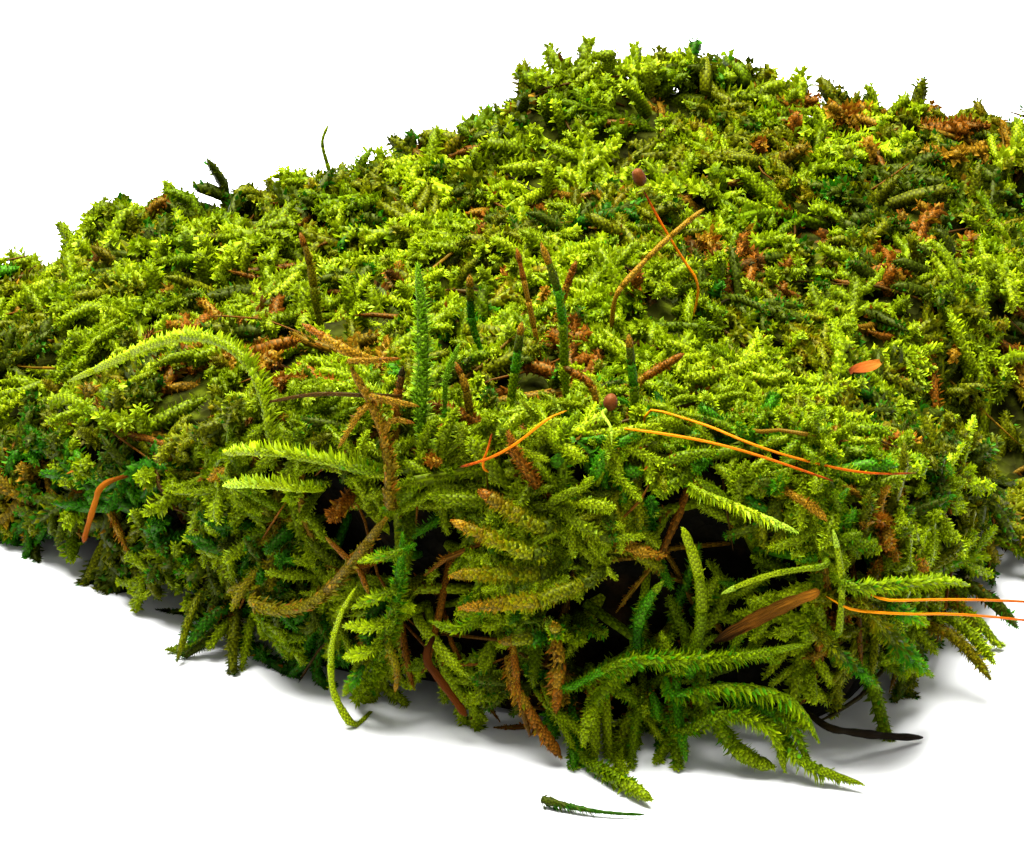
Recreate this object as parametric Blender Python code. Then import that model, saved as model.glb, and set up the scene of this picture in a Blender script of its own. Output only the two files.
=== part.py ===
# A clump of feather moss, as lifted off the ground: one interwoven mat cut flat underneath, the shoots
# that stand out of it, its fruiting stalks, and the litter caught in it.
# Every length below is in millimetres; MM turns it into metres when a mesh is made.
import math

import bpy
import bmesh
import numpy as np
from mathutils import Vector
from mathutils.bvhtree import BVHTree

MM = 0.001
GAP = 0.3               # left between two pieces that touch
CENTRE = (1.0, 45.0)    # the point in plan that the mat's rings shrink towards
COLUMNS = 88            # round the mat
SIDE_RINGS = ((0.0, 2.2), (0.22, 0.4), (0.5, 0.0), (0.78, 0.9), (1.0, 3.4))   # share of rim height, inset
TOP_RINGS = (0.90, 0.80, 0.69, 0.58, 0.46, 0.34, 0.22, 0.11)                   # share of the outline's reach

# the mat's outline in plan, anticlockwise from the front corner; plan zero is under the corner's rim
OUTLINE = (
    (4, -4), (16, -3), (27, -5), (35, 4), (41, 18), (49, 33), (60, 45), (70, 58), (75, 73),
    (66, 88), (45, 94), (24, 92), (5, 86), (-15, 81), (-37, 79), (-56, 73), (-70, 65), (-74, 56),
    (-66, 46), (-51, 35), (-36, 22), (-22, 8), (-9, 1),
)

# how high the mat stands at places in plan: thick at the front corner and the back, thin at both ends
HEIGHTS = (
    (2, 0, 28), (22, 0, 28), (-18, 11, 26), (-34, 24, 18), (-50, 36, 10), (-68, 54, 8), (-53, 68, 14),
    (-37, 74, 20), (-19, 76, 22), (-6, 76, 25), (5, 79, 31), (22, 88, 31), (38, 88, 25), (56, 86, 23),
    (70, 74, 13), (60, 48, 9), (48, 35, 8), (38, 14, 19), (10, 40, 28), (40, 55, 23), (-30, 44, 21),
)

# hollows in the front faces: middle and depth of each dent, and how wide it is
HOLLOWS = (
    ((-5, -1, 17), 5.0, 4.0), ((8, -4, 10), 6.0, 4.5), ((19, -3, 15), 5.0, 4.0),
    ((-16, 5, 12), 4.0, 4.0), ((-27, 16, 8), 3.5, 4.0),
)


def top_height(x, y):
    """Height of the mat at a place: HEIGHTS weighed by the inverse cube of their distance."""
    places = np.array(HEIGHTS, float)
    distance = np.hypot(places[:, 0] - x, places[:, 1] - y) + 4.0
    weight = distance ** -3.0
    mean = (weight * places[:, 2]).sum() / weight.sum()
    hummocks = math.sin(x * 0.31 + 1.0) * math.cos(y * 0.27) + 0.7 * math.sin(x * 0.13 - y * 0.22)
    return float(mean + 0.9 * hummocks)


def smooth_through(points, per_span, closed=False):
    """Catmull-Rom curve through the points, with per_span steps between two of them."""
    points = np.array(points, float)
    if closed:
        padded = np.vstack([points[-1:], points, points[:2]])
    else:
        padded = np.vstack([2 * points[0] - points[1], points, 2 * points[-1] - points[-2]])
    share = np.arange(per_span)[:, None] / per_span
    runs = []
    for a, b, c, d in zip(padded, padded[1:], padded[2:], padded[3:]):
        runs.append(0.5 * (2 * b + (c - a) * share + (2 * a - 5 * b + 4 * c - d) * share ** 2
                           + (3 * b - a - 3 * c + d) * share ** 3))
    curve = np.vstack(runs)
    return curve if closed else np.vstack([curve, points[-1:]])


def even_steps(path, count, closed=False):
    """The same line with count points at equal distances along it."""
    line = np.vstack([path, path[:1]]) if closed else path
    along = np.concatenate([[0.0], np.cumsum(np.linalg.norm(np.diff(line, axis=0), axis=1))])
    stops = np.linspace(0.0, along[-1], count + 1)[:-1] if closed else np.linspace(0.0, along[-1], count)
    return np.stack([np.interp(stops, along, line[:, k]) for k in range(line.shape[1])], axis=1)


def mat_rings():
    """Rings of points from the flat underside up the side and in over the top."""
    outline = even_steps(smooth_through(OUTLINE, 12, closed=True), COLUMNS, closed=True)
    centre = np.array(CENTRE)
    reach = outline - centre
    length = np.linalg.norm(reach, axis=1)[:, None]
    direction = reach / length
    ragged = 0.9 * np.sin(np.arange(COLUMNS) * 2.1) + 0.6 * np.sin(np.arange(COLUMNS) * 0.9 + 1.0)
    rings = []
    for share, inset in SIDE_RINGS:
        plan = centre + direction * (length - inset + 0.6 * share * ragged[:, None])
        rim = np.array([top_height(x, y) for x, y in centre + direction * (length - 4.0)])
        rings.append(np.column_stack([plan, share * rim]))
    for share in TOP_RINGS:
        plan = centre + direction * (length - 3.4) * share
        rings.append(np.column_stack([plan, [top_height(x, y) for x, y in plan]]))
    for middle, depth, width in HOLLOWS:
        for ring in rings[1:]:
            away = np.linalg.norm(ring - np.array(middle, float), axis=1)
            ring[:, :2] -= direction * (depth * np.exp(-(away / width) ** 2))[:, None]
    return rings


def mat_mesh():
    """The mat as a closed mesh: rings bridged to each other, a flat bottom and a fan on top."""
    rings = mat_rings()
    built = bmesh.new()
    loops = [[built.verts.new(Vector(p) * MM) for p in ring] for ring in rings]
    for lower, upper in zip(loops, loops[1:]):
        for k in range(COLUMNS):
            after = (k + 1) % COLUMNS
            built.faces.new((lower[k], lower[after], upper[after], upper[k]))
    built.faces.new(list(reversed(loops[0])))
    crown = built.verts.new(Vector((*CENTRE, top_height(*CENTRE))) * MM)
    for k in range(COLUMNS):
        built.faces.new((loops[-1][k], loops[-1][(k + 1) % COLUMNS], crown))
    bmesh.ops.triangulate(built, faces=built.faces[:])
    mesh = bpy.data.meshes.new("moss_mat")
    built.to_mesh(mesh)
    built.free()
    return mesh


PLAN_TO_FRAME = (-0.4, -40.2)   # puts the origin under the middle of the whole clump's box
STEP = 1.7              # between two points of a shoot's path
SLACK = 0.15            # added to GAP, because paths and the mat are made of flat pieces
MOST_STEP = 2.0         # the furthest that one pass moves a shoot off another
PASSES = 8              # times that a shoot is moved clear and then smoothed
SLIM = 0.3              # below this radius a piece is a stalk and gets four sides
MAT_ROUGHNESS = 0.6
SHOOT_ROUGHNESS = 0.55

MOSS = (0.30, 0.46, 0.10)
BRIGHT = (0.62, 0.80, 0.20)
LEAF_GREEN = (0.36, 0.58, 0.14)
EMERALD = (0.15, 0.45, 0.13)
OLIVE = (0.50, 0.48, 0.15)
DEAD_BROWN = (0.40, 0.28, 0.11)
DARK_BROWN = (0.22, 0.13, 0.07)
SETA_ORANGE = (0.80, 0.40, 0.10)
BARK = (0.42, 0.24, 0.12)
BLACK = (0.05, 0.05, 0.045)
CAPSULE_BROWN = (0.62, 0.36, 0.22)
LEAF_RED = (0.72, 0.36, 0.18)
CAPSULE = (11.2, 32.3, 37.4)
RED_LEAF = (31.4, 26.9, 21.0)

# every shoot, stalk and stick that stands out of the mat: name, colour, radii from foot to tip, and a
# route of a few points from foot to tip; a later one lies over the earlier ones where they cross
SHOOTS = (
    # the dead stem that climbs the left of the front corner, split at its forks
    ("dead_stem_lower", OLIVE, (0.85, 0.75),
     ((-21.5, 6.5, 8.5), (-19.5, 5.5, 7), (-15.5, 4.5, 10.6), (-12, 2, 16.2), (-10.4, 1, 19.4))),
    ("dead_stem_upper", DEAD_BROWN, (0.75, 0.6),
     ((-10, 1, 21.5), (-9, 1.4, 24.2), (-10, 2.5, 27.2), (-12.4, 3.5, 30.6), (-13, 3.9, 31.6))),
    ("dead_stem_tip", DEAD_BROWN, (0.55, 0.3), ((-13.7, 4.2, 33.2), (-15.1, 5, 34), (-17, 6, 34.6))),
    ("dead_twig_1", DEAD_BROWN, (0.4, 0.3), ((-11.9, 4, 32.2), (-11, 4, 32), (-9, 4, 32.4))),
    ("dead_twig_2", DEAD_BROWN, (0.5, 0.25), ((-10.4, 2.6, 29.5), (-9.4, 2.4, 29.6), (-7.5, 2.2, 29))),
    ("dead_twig_3", DEAD_BROWN, (0.4, 0.25), ((-9.2, 1.8, 28), (-7.9, 1.6, 27.8))),
    ("dead_twig_4", DEAD_BROWN, (0.45, 0.25), ((-12.2, 2.2, 28.2), (-13.4, 1.6, 26.8), (-14, 1.4, 25.7))),
    # the pale feather beside it and the whip that loops down to its foot
    ("feather_stem", LEAF_GREEN, (0.7, 0.9, 0.85, 0.6),
     ((-13, 3, 1.6), (-11.3, 0.9, 5), (-10, 0, 9.2), (-9, -0.2, 14.8), (-8.9, 0, 18.6))),
    ("feather_branch_1", LEAF_GREEN, (0.6, 0.4), ((-10, -0.5, 17), (-12.4, 1, 15.8))),
    ("feather_branch_2", LEAF_GREEN, (0.6, 0.4), ((-10.6, -0.4, 13.2), (-13.2, 1, 11.2))),
    ("feather_branch_3", BRIGHT, (0.65, 0.45), ((-11.2, 0, 10.3), (-14, 1.6, 9.2))),
    ("feather_branch_4", BRIGHT, (0.65, 0.45), ((-11.6, 0.8, 7.8), (-14, 2, 6))),
    ("feather_branch_5", OLIVE, (0.6, 0.4), ((-12.3, 1.4, 5.2), (-14, 2.2, 2.4))),
    ("loop_whip", BRIGHT, (0.5, 0.4, 0.25),
     ((-13.6, 0.6, 0.6), (-15.4, 1.4, 2.4), (-15.6, 1.6, 6), (-14.6, 0.9, 10), (-12.8, 0.2, 13.6))),
    # the left of the front corner
    ("arched_shoot", LEAF_GREEN, (0.8, 0.85, 0.6),
     ((-19.8, 6.6, 24), (-20.2, 7.4, 27.5), (-20.6, 8.4, 30.2), (-24.8, 12, 31.2), (-29.4, 16, 29),
      (-34, 20, 25.2), (-39, 24, 21.4))),
    ("lying_shoot_1", LEAF_GREEN, (0.85, 0.7),
     ((-12.6, 1.5, 23.8), (-16, 3.5, 23.8), (-20, 6, 23.4), (-24, 8.5, 21.8))),
    ("lying_shoot_2", BRIGHT, (0.75, 0.6), ((-18, 4, 20.8), (-20.6, 5.6, 21), (-24, 8, 19))),
    # what stands up from the rim, and the bare stalks behind it
    ("upright_shoot", EMERALD, (0.9, 0.85, 0.6), ((-7.4, 6, 28), (-7, 6.4, 32), (-7.6, 7, 39.4))),
    ("upright_branch", EMERALD, (0.45, 0.4), ((-5.2, 6, 30.4), (-4.3, 5.9, 32.8))),
    ("dark_tip_1", DARK_BROWN, (0.55, 0.45), ((4.4, 14, 27.6), (4.4, 14, 34), (2.4, 14, 38.4))),
    ("dark_tip_2", DARK_BROWN, (0.5, 0.4), ((0.2, 12, 27.4), (0.8, 12.4, 32))),
    ("dark_tip_3", DARK_BROWN, (0.5, 0.4), ((10, 7, 28.4), (9.5, 7.6, 33))),
    ("brown_spike", DEAD_BROWN, (0.5, 0.6, 0.4), ((10.8, 9, 28.4), (14.2, 10, 30.2))),
    ("brown_stalk_1", OLIVE, (0.35, 0.3), ((9.5, 27, 29), (12, 29, 31.6), (17, 32, 34.6))),
    ("brown_stalk_2", OLIVE, (0.35, 0.3), ((1.6, 23, 28.6), (0.4, 24, 34))),
    # fingers and buds in the middle of the front corner
    ("finger_1", OLIVE, (0.9, 0.85, 0.7), ((1.6, -4.4, 21.6), (-0.6, -3.4, 22.6), (-2.6, -2.2, 23.6))),
    ("finger_2", OLIVE, (0.9, 0.85, 0.65), ((1.6, -4.4, 19.6), (-1.6, -3.6, 19.6), (-4.8, -2, 20.8))),
    ("finger_3", OLIVE, (0.9, 0.8, 0.6), ((1.6, -4.8, 17.4), (-2.4, -4, 17.6), (-5, -2.8, 16.2))),
    ("finger_4", OLIVE, (0.8, 0.9, 0.8, 0.7),
     ((6, -5.4, 17), (4.4, -5.8, 16.6), (0, -5.2, 15), (-4.2, -3.4, 13.6))),
    ("bud_shoot", BRIGHT, (0.7, 0.75), ((3.6, -5.4, 12.4), (3.4, -6.6, 13.8))),
    ("hanging_brown_shoot", DEAD_BROWN, (0.8, 0.95, 0.5),
     ((3.8, -4.8, 10), (4.2, -5, 7.8), (3.6, -4.8, 4.6))),
    ("foot_stem", DEAD_BROWN, (0.8, 0.8), ((0.4, -4.6, 6.6), (1.6, -4.8, 3.4), (4, -5.6, 1))),
    ("front_finger", BRIGHT, (0.7, 0.95, 0.95, 0.7),
     ((6.2, -6.4, 0.9), (8.2, -8.6, 0.9), (9.8, -10.8, 0.9), (11.2, -12.2, 0.9))),
    ("curled_shoot", LEAF_GREEN, (0.8, 0.85, 0.75),
     ((9.8, -3.6, 8.2), (7, -4.2, 7.8), (5.2, -6, 5.8), (5.8, -7, 2.8))),
    ("cup_shoot", LEAF_GREEN, (0.7, 0.9, 0.5),
     ((10.2, -3.8, 10.8), (8.6, -4, 13.4), (10, -4, 15.2), (12.2, -4, 16.4))),
    # the right of the front corner
    ("twisted_shoot", BRIGHT, (0.75, 0.65, 0.6),
     ((14.6, -4.4, 8.6), (15.8, -4, 11), (15.6, -3.4, 15.6), (14.8, -3.6, 19.4), (13.6, -4, 21.2))),
    ("fork_shoot", LEAF_GREEN, (0.7, 0.6), ((13.2, -4.2, 9.4), (12.1, -4, 11.6))),
    ("pale_shoot", BRIGHT, (0.55, 0.6, 0.5), ((15.3, -4, 24.2), (19, -5, 23.2), (22.6, -6, 21.8))),
    ("cross_whip", BRIGHT, (0.4, 0.35, 0.3),
     ((24.4, -6.6, 19), (21, -5.6, 18.6), (18, -4.6, 16.4), (16.8, -4.4, 15.4))),
    ("right_whip", BRIGHT, (0.45, 0.4, 0.35), ((26.2, -6.4, 13.2), (26.9, -6.4, 17), (25.4, -6, 22))),
    ("bark_twig", BARK, (0.6, 0.7, 0.45), ((16.8, -4.4, 11.2), (20.8, -5, 14.6), (24.4, -7, 17))),
    ("reaching_shoot", LEAF_GREEN, (0.75, 0.7, 0.4),
     ((27.4, -6.6, 17.4), (29.8, -5.6, 16.6), (33, -3, 15.6), (36.4, 0.4, 14.8), (37.8, 2, 12.8))),
    ("braided_shoot", BRIGHT, (0.85, 1.0, 0.9),
     ((15.6, -4.6, 6.6), (16.6, -5.2, 4), (17.6, -6.4, 1.4), (18.6, -8, 1), (20.4, -8.4, 1),
      (21.4, -7.4, 1))),
    ("low_shoot", LEAF_GREEN, (0.8, 0.85, 0.5),
     ((22, -5.6, 3.4), (23.8, -6.8, 0.9), (26, -8.2, 0.9), (28.4, -9.8, 0.9))),
    ("tassel_1", LEAF_GREEN, (0.8, 0.85, 0.5),
     ((29.2, -6, 14), (31.4, -4, 10.4), (33.6, -1.4, 7), (35, 0.6, 5))),
    ("tassel_2", LEAF_GREEN, (0.7, 0.6), ((31, -5.2, 14.4), (33.8, -2.8, 11.8))),
    ("tassel_3", LEAF_GREEN, (0.75, 0.5), ((26, -7, 11.6), (28, -6.4, 9), (30, -5, 7))),
    # fruiting stalks, and what is caught in the mat
    ("seta_1", SETA_ORANGE, (0.14, 0.12),
     ((11.5, 3.6, 28), (14.7, 1.4, 28.2), (20.4, -2.2, 27.2), (25.2, -3, 26), (29.4, -1.2, 24.2),
      (32.6, 0.2, 24))),
    ("seta_2", SETA_ORANGE, (0.14, 0.12),
     ((11, -1.4, 28.4), (16, -2.4, 28.2), (22, -4, 26.6), (25.4, -4.6, 25.6))),
    ("seta_3", SETA_ORANGE, (0.14, 0.14),
     ((2.2, -2.2, 29.4), (1, -2.6, 27.8), (-2, -1.6, 25.4), (-4.2, -0.4, 24.8))),
    ("seta_4", SETA_ORANGE, (0.14, 0.12),
     ((27.6, -7.2, 15.4), (35, -4.2, 13.6), (42, -1, 11.2), (46, 1, 9.6))),
    ("seta_5", SETA_ORANGE, (0.14, 0.12),
     ((30, -6.4, 16), (36, -3, 14.2), (42, 0, 12.4), (45.4, 1.8, 11.2))),
    ("capsule_seta", SETA_ORANGE, (0.16, 0.14), ((16.2, 29.6, 29), (13.6, 31, 32.4), (11.6, 32.2, 36.2))),
    ("orange_needle", SETA_ORANGE, (0.4, 0.35),
     ((-36.4, 20.6, 12.4), (-37.6, 21, 9.4), (-38.2, 21.6, 6.8))),
    ("sunk_needle", DARK_BROWN, (0.35, 0.3), ((-6.8, -1.8, 7.4), (-3.8, -1.8, 2.6))),
    ("black_stick", BLACK, (0.4, 0.45, 0.3),
     ((26.4, -5.4, 3.4), (29.6, -4, 2), (32.4, -2.4, 0.6), (34.2, -1.6, 0.4))),
    ("fallen_sprig", EMERALD, (0.7, 0.5, 0.25, 0.3),
     ((2.4, -11.8, 0.7), (4.6, -13, 0.6), (7.2, -13.9, 0.4), (9.2, -14.4, 0.4), (10.6, -13.6, 0.4))),
)


class Clump:
    """What has been built so far: the mat's surface, and every shoot laid over it."""

    def __init__(self, mat_faces):
        self.surface = mat_faces
        self.laid = np.zeros((0, 3))
        self.laid_radius = np.zeros(0)

    def outward(self, place):
        """The nearest spot on the mat, which way is out there, and how far out the place is."""
        spot, normal, _, _ = self.surface.find_nearest(Vector(place))
        height = (Vector(place) - spot).dot(normal)
        if normal.z < 0.0:
            normal = Vector((normal.x, normal.y, 0.0)).normalized()
        return np.array(normal), height

    def clear(self, place, radius):
        """Moves a place out until a shoot of that radius clears the mat, the ground and what lies there."""
        normal, height = self.outward(place)
        place = place + normal * max(0.0, radius + GAP + SLACK - height)
        if len(self.laid):
            apart = radius + self.laid_radius + GAP + SLACK
            offset = place - self.laid
            along = offset @ normal
            need = (offset ** 2).sum(1) - apart ** 2
            close = need < 0.0
            if close.any():
                step = -along[close] + np.sqrt(along[close] ** 2 - need[close])
                place = place + normal * min(step.max(), MOST_STEP)
        place[2] = max(place[2], radius)
        return place

    def lay(self, route, radii):
        """The route as an even path, settled over the mat and the shoots laid before it."""
        length = np.linalg.norm(np.diff(np.array(route, float), axis=0), axis=1).sum()
        count = max(4, int(length / STEP) + 1)
        path = even_steps(smooth_through(route, 10), count)
        radius = np.interp(np.linspace(0, 1, count), np.linspace(0, 1, len(radii)), radii)
        for _ in range(PASSES):
            path = np.array([self.clear(p, r) for p, r in zip(path, radius)])
            path[1:-1] = 0.5 * path[1:-1] + 0.25 * (path[:-2] + path[2:])
        path = np.array([self.clear(p, r) for p, r in zip(path, radius)])
        dense = even_steps(np.column_stack([path, radius]), count * 4)
        self.laid = np.vstack([self.laid, dense[:, :3]])
        self.laid_radius = np.concatenate([self.laid_radius, dense[:, 3]])
        return path, radius


def finish(name, colour, roughness):
    """A material with a colour, as sRGB shares of one, and a roughness."""
    material = bpy.data.materials.new(name)
    material.use_nodes = True
    shader = material.node_tree.nodes["Principled BSDF"]
    shader.inputs["Base Color"].default_value = [*(share ** 2.2 for share in colour), 1.0]
    shader.inputs["Roughness"].default_value = roughness
    shader.inputs["Metallic"].default_value = 0.0
    return material


def place_in_scene(name, data, colour, roughness):
    """An object with its own material, with plan zero moved to the box's middle."""
    made = bpy.data.objects.new(name, data)
    data.materials.append(finish(name, colour, roughness))
    made.location = (PLAN_TO_FRAME[0] * MM, PLAN_TO_FRAME[1] * MM, 0.0)
    bpy.context.scene.collection.objects.link(made)
    return made


def tube(name, path, radius, colour, roughness, resolution):
    """A round tube along the path, as a bevelled curve with filled ends; 4 + 2 * resolution sides."""
    curve = bpy.data.curves.new(name, "CURVE")
    curve.dimensions = "3D"
    curve.bevel_depth = MM
    curve.bevel_resolution = resolution
    curve.use_fill_caps = True
    line = curve.splines.new("POLY")
    line.points.add(len(path) - 1)
    for point, place, r in zip(line.points, path, radius):
        point.co = (*(place * MM), 1.0)
        point.radius = r
    line.use_smooth = True
    return place_in_scene(name, curve, colour, roughness)


def egg(name, middle, axis, length, width, colour, roughness):
    """A closed egg shape: a sphere stretched along its axis."""
    built = bmesh.new()
    bmesh.ops.create_uvsphere(built, u_segments=8, v_segments=6, radius=0.5)
    turn = Vector(axis).to_track_quat("Z", "Y").to_matrix()
    for v in built.verts:
        v.co = (turn @ Vector((v.co.x * width[0], v.co.y * width[1], v.co.z * length)) + Vector(middle)) * MM
    bmesh.ops.triangulate(built, faces=built.faces[:])
    mesh = bpy.data.meshes.new(name)
    built.to_mesh(mesh)
    built.free()
    mesh.shade_smooth()
    return place_in_scene(name, mesh, colour, roughness)


def build():
    for thing in list(bpy.data.objects):
        bpy.data.objects.remove(thing, do_unlink=True)
    mat = mat_mesh()
    corners = [v.co / MM for v in mat.vertices]
    faces = [tuple(face.vertices) for face in mat.polygons]
    clump = Clump(BVHTree.FromPolygons(corners, faces))
    mat.shade_smooth()
    place_in_scene("moss_mat", mat, MOSS, MAT_ROUGHNESS)
    for name, colour, radii, route in SHOOTS:
        path, radius = clump.lay(route, radii)
        slim = max(radii) < SLIM
        tube(name, path, radius, colour, SHOOT_ROUGHNESS, 0 if slim else 1)
    egg("capsule", CAPSULE, (-0.4, 0.1, 1.0), 1.6, (1.1, 1.1), CAPSULE_BROWN, 0.4)
    egg("red_leaf", RED_LEAF, (1.0, 0.5, 0.1), 3.0, (1.7, 0.5), LEAF_RED, 0.6)


build()
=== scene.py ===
import math

import bpy
import numpy as np
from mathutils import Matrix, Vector
from mathutils.bvhtree import BVHTree
from mathutils.kdtree import KDTree


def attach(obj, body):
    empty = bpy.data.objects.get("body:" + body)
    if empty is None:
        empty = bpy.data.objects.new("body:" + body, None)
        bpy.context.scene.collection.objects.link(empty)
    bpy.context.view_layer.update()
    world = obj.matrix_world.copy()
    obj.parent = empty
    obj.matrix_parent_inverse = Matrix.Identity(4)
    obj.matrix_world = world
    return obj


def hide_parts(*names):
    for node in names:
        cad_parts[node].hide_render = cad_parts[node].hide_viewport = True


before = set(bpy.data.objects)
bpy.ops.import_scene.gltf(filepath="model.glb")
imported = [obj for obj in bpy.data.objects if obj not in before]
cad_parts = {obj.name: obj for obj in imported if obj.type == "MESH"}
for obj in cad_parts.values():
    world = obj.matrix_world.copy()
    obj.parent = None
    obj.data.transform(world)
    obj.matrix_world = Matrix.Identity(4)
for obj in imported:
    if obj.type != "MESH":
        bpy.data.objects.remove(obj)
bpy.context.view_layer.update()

mm = 0.001
planShift = np.array((-0.4, -40.2, 0.0))   # plan zero is under the rim of the front corner
matMiddle = np.array((1.0, 45.0, 10.0))    # a point inside the mat
skyward = np.array((0.0, 0.0, 1.0))
pathPoints = 9                             # points on each small shoot's path
pathShare = np.linspace(0, 1, pathPoints)
keptPoints = (0, 3, 5, 7, 8)               # and those that its mesh keeps, closer together towards the tip
heroPoints = 26                            # points on each shoot that stands out

viewing = {
    # what the camera looks at, in millimetres in plan, from how far and how steeply, and its lens
    "target": (0.0, 0.0, 28.0), "distanceMm": 250.0, "elevation": 25.0,
    "lensMm": 109.86328125, "sensorMm": 36.0,
}
viewTilt = math.radians(viewing["elevation"])
towardsView = np.array((0.0, -math.cos(viewTilt), math.sin(viewTilt)))
viewUp = np.array((0.0, math.sin(viewTilt), math.cos(viewTilt)))
print("moss clump: frame loaded")


# paths

def throughPoints(points, perSpan):
    # Catmull-Rom: each span is a cubic mix of its four neighbours, with the end points mirrored outwards
    points = np.array(points, float)
    padded = np.vstack([2 * points[0] - points[1], points, 2 * points[-1] - points[-2]])
    share = np.arange(perSpan)[:, None] / perSpan
    runs = []
    for a, b, c, d in zip(padded, padded[1:], padded[2:], padded[3:]):
        cubic = (3 * b - a - 3 * c + d) * share ** 3
        runs.append(0.5 * (2 * b + (c - a) * share + (2 * a - 5 * b + 4 * c - d) * share ** 2 + cubic))
    return np.vstack(runs + [points[-1:]])


def evenSteps(path, count):
    # the path read again at equal distances along it
    gone = np.concatenate([[0.0], np.cumsum(np.linalg.norm(np.diff(path[:, :3], axis=0), axis=1))])
    stops = np.linspace(0.0, gone[-1], count)
    return np.column_stack([np.interp(stops, gone, path[:, k]) for k in range(path.shape[1])])


def unit(vectors):
    # each vector over its own length
    return vectors / np.maximum(np.linalg.norm(vectors, axis=-1, keepdims=True), 1e-9)


def readAlong(values, owner, share):
    # values[path, point] read at a share of each owner's length, straight between neighbouring points
    last = values.shape[1] - 1
    spot = np.clip(share, 0.0, 1.0) * last
    low = np.minimum(spot.astype(int), last - 1)
    part = (spot - low)[:, None]
    return values[owner, low] * (1 - part) + values[owner, low + 1] * part


def pathFrames(paths, seed):
    # tangent by differences; side = tangent x the axis the path bends about; rise = side x tangent
    rng = np.random.default_rng(seed)
    tangent = unit(np.gradient(paths, axis=1))
    middle = paths.shape[1] // 2
    axis = np.cross(paths[:, middle] - paths[:, 0], paths[:, -1] - paths[:, middle])
    axis = unit(axis) + 0.15 * rng.normal(size=axis.shape)
    side = unit(np.cross(tangent, axis[:, None, :]))
    return tangent, side, np.cross(side, tangent)


# the mat that everything grows from

def readNode(name):
    # corners and triangles of a CAD node, in millimetres in plan
    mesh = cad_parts[name].data
    mesh.calc_loop_triangles()
    corners = np.empty(len(mesh.vertices) * 3)
    mesh.vertices.foreach_get("co", corners)
    triangles = np.empty(len(mesh.loop_triangles) * 3, int)
    mesh.loop_triangles.foreach_get("vertices", triangles)
    return corners.reshape(-1, 3) / mm - planShift, triangles.reshape(-1, 3)


swells = (
    # where in plan the turf stands higher or lower than the solid mat, how wide and how high, in millimetres
    (3.2, 82.5, 5.5, 3.4), (22.4, 89.0, 5.0, -3.6), (28.0, 90.0, 3.0, -0.6), (42.8, 91.3, 3.0, -1.6),
    (52.8, 89.0, 4.0, 1.5), (-8.3, 78.8, 3.0, -1.5), (-25.5, 76.6, 6.0, -1.5), (-35.0, 76.5, 6.0, -1.2),
    (-44.4, 74.4, 5.0, -2.4),
)


def swollen(corners):
    # each corner rises by a sum of bells, height * exp(-(distance in plan / width)^2), less near the ground
    rise = sum(high * np.exp(-((corners[:, 0] - x) ** 2 + (corners[:, 1] - y) ** 2) / wide ** 2)
               for x, y, wide, high in swells)
    moved = corners.copy()
    moved[:, 2] += rise * np.clip(corners[:, 2] / 15.0, 0, 1)
    return moved


matCorners, matTriangles = readNode("moss_mat")
turfCorners = swollen(matCorners)
matSurface = BVHTree.FromPolygons(turfCorners.tolist(), matTriangles.tolist())


def nearestOnMat(points):
    # for each point the nearest spot on the mat, and the mat's normal there
    found = [matSurface.find_nearest(Vector(point))[:2] for point in points.reshape(-1, 3)]
    return [np.array([pair[k][:] for pair in found]) for k in range(2)]


def followMat(points, height):
    # each point drops to the nearest spot on the mat and stands off it along the surface's normal, which
    # under an overhang points away from the middle of the mat
    spots, normals = nearestOnMat(points)
    under = normals[:, 2] < -0.3
    normals[under] = unit(points.reshape(-1, 3)[under] - matMiddle)
    moved = spots + normals * height.reshape(-1, 1)
    return moved.reshape(points.shape), normals.reshape(points.shape)


def keptLow(paths, most, share=0.88, reach=12.0):
    # a point that stands higher over the mat than the most allowed comes down by a share of the rest
    spots, normals = nearestOnMat(paths)
    flat = paths.reshape(-1, 3)
    height = ((flat - spots) * normals).sum(1)
    over = np.maximum(height - most, 0.0) * (height < reach) * share
    return smoothed((flat - normals * over[:, None]).reshape(paths.shape))


def smoothed(paths):
    # each inner point moves half of the way to the middle of its neighbours
    paths[:, 1:-1] = 0.5 * paths[:, 1:-1] + 0.25 * (paths[:, :-2] + paths[:, 2:])
    return paths


# the mat's triangles: ends, middles, doubled areas and normals, and which of them don't face down
ends = [matCorners[matTriangles[:, k]] for k in range(3)]
middles = sum(ends) / 3
doubled = np.cross(ends[1] - ends[0], ends[2] - ends[0])
areas = np.linalg.norm(doubled, axis=1)
facings = doubled / np.maximum(areas, 1e-9)[:, None]
areasUp = areas * (facings[:, 2] > -0.2)


def zoneArea(zone):
    # square millimetres of the mat inside a zone of the plan
    return (0.5 * areasUp * zone(middles)).sum()


def rootsOnMat(count, zone, seed, spare=6):
    # random spots on the mat's triangles, as likely as the triangle's area, kept to a zone of the plan:
    # spot = a (1 - r) + b r (1 - s) + c r s, with r the root of an even draw and s an even draw
    rng = np.random.default_rng(seed)
    weight = areasUp * (0.25 + zone(middles))
    chosen = rng.choice(len(weight), count * spare, p=weight / weight.sum())
    r = np.sqrt(rng.random((count * spare, 1)))
    s = rng.random((count * spare, 1))
    a, b, c = (end[chosen] for end in ends)
    spots = a * (1 - r) + b * r * (1 - s) + c * r * s
    kept = zone(spots) > 0.5
    spots, normals = spots[kept], facings[chosen][kept]
    # one spot for each cube of a grid comes first, so that they lie evenly
    cube = np.floor(spots / math.sqrt(0.5 * areas[zone(middles) > 0.5].sum() / count))
    first = np.unique(cube, axis=0, return_index=True)[1]
    order = np.concatenate([rng.permutation(first), np.setdiff1d(np.arange(len(spots)), first)])[:count]
    return spots[order], normals[order]


# surfaces as arrays

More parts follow.
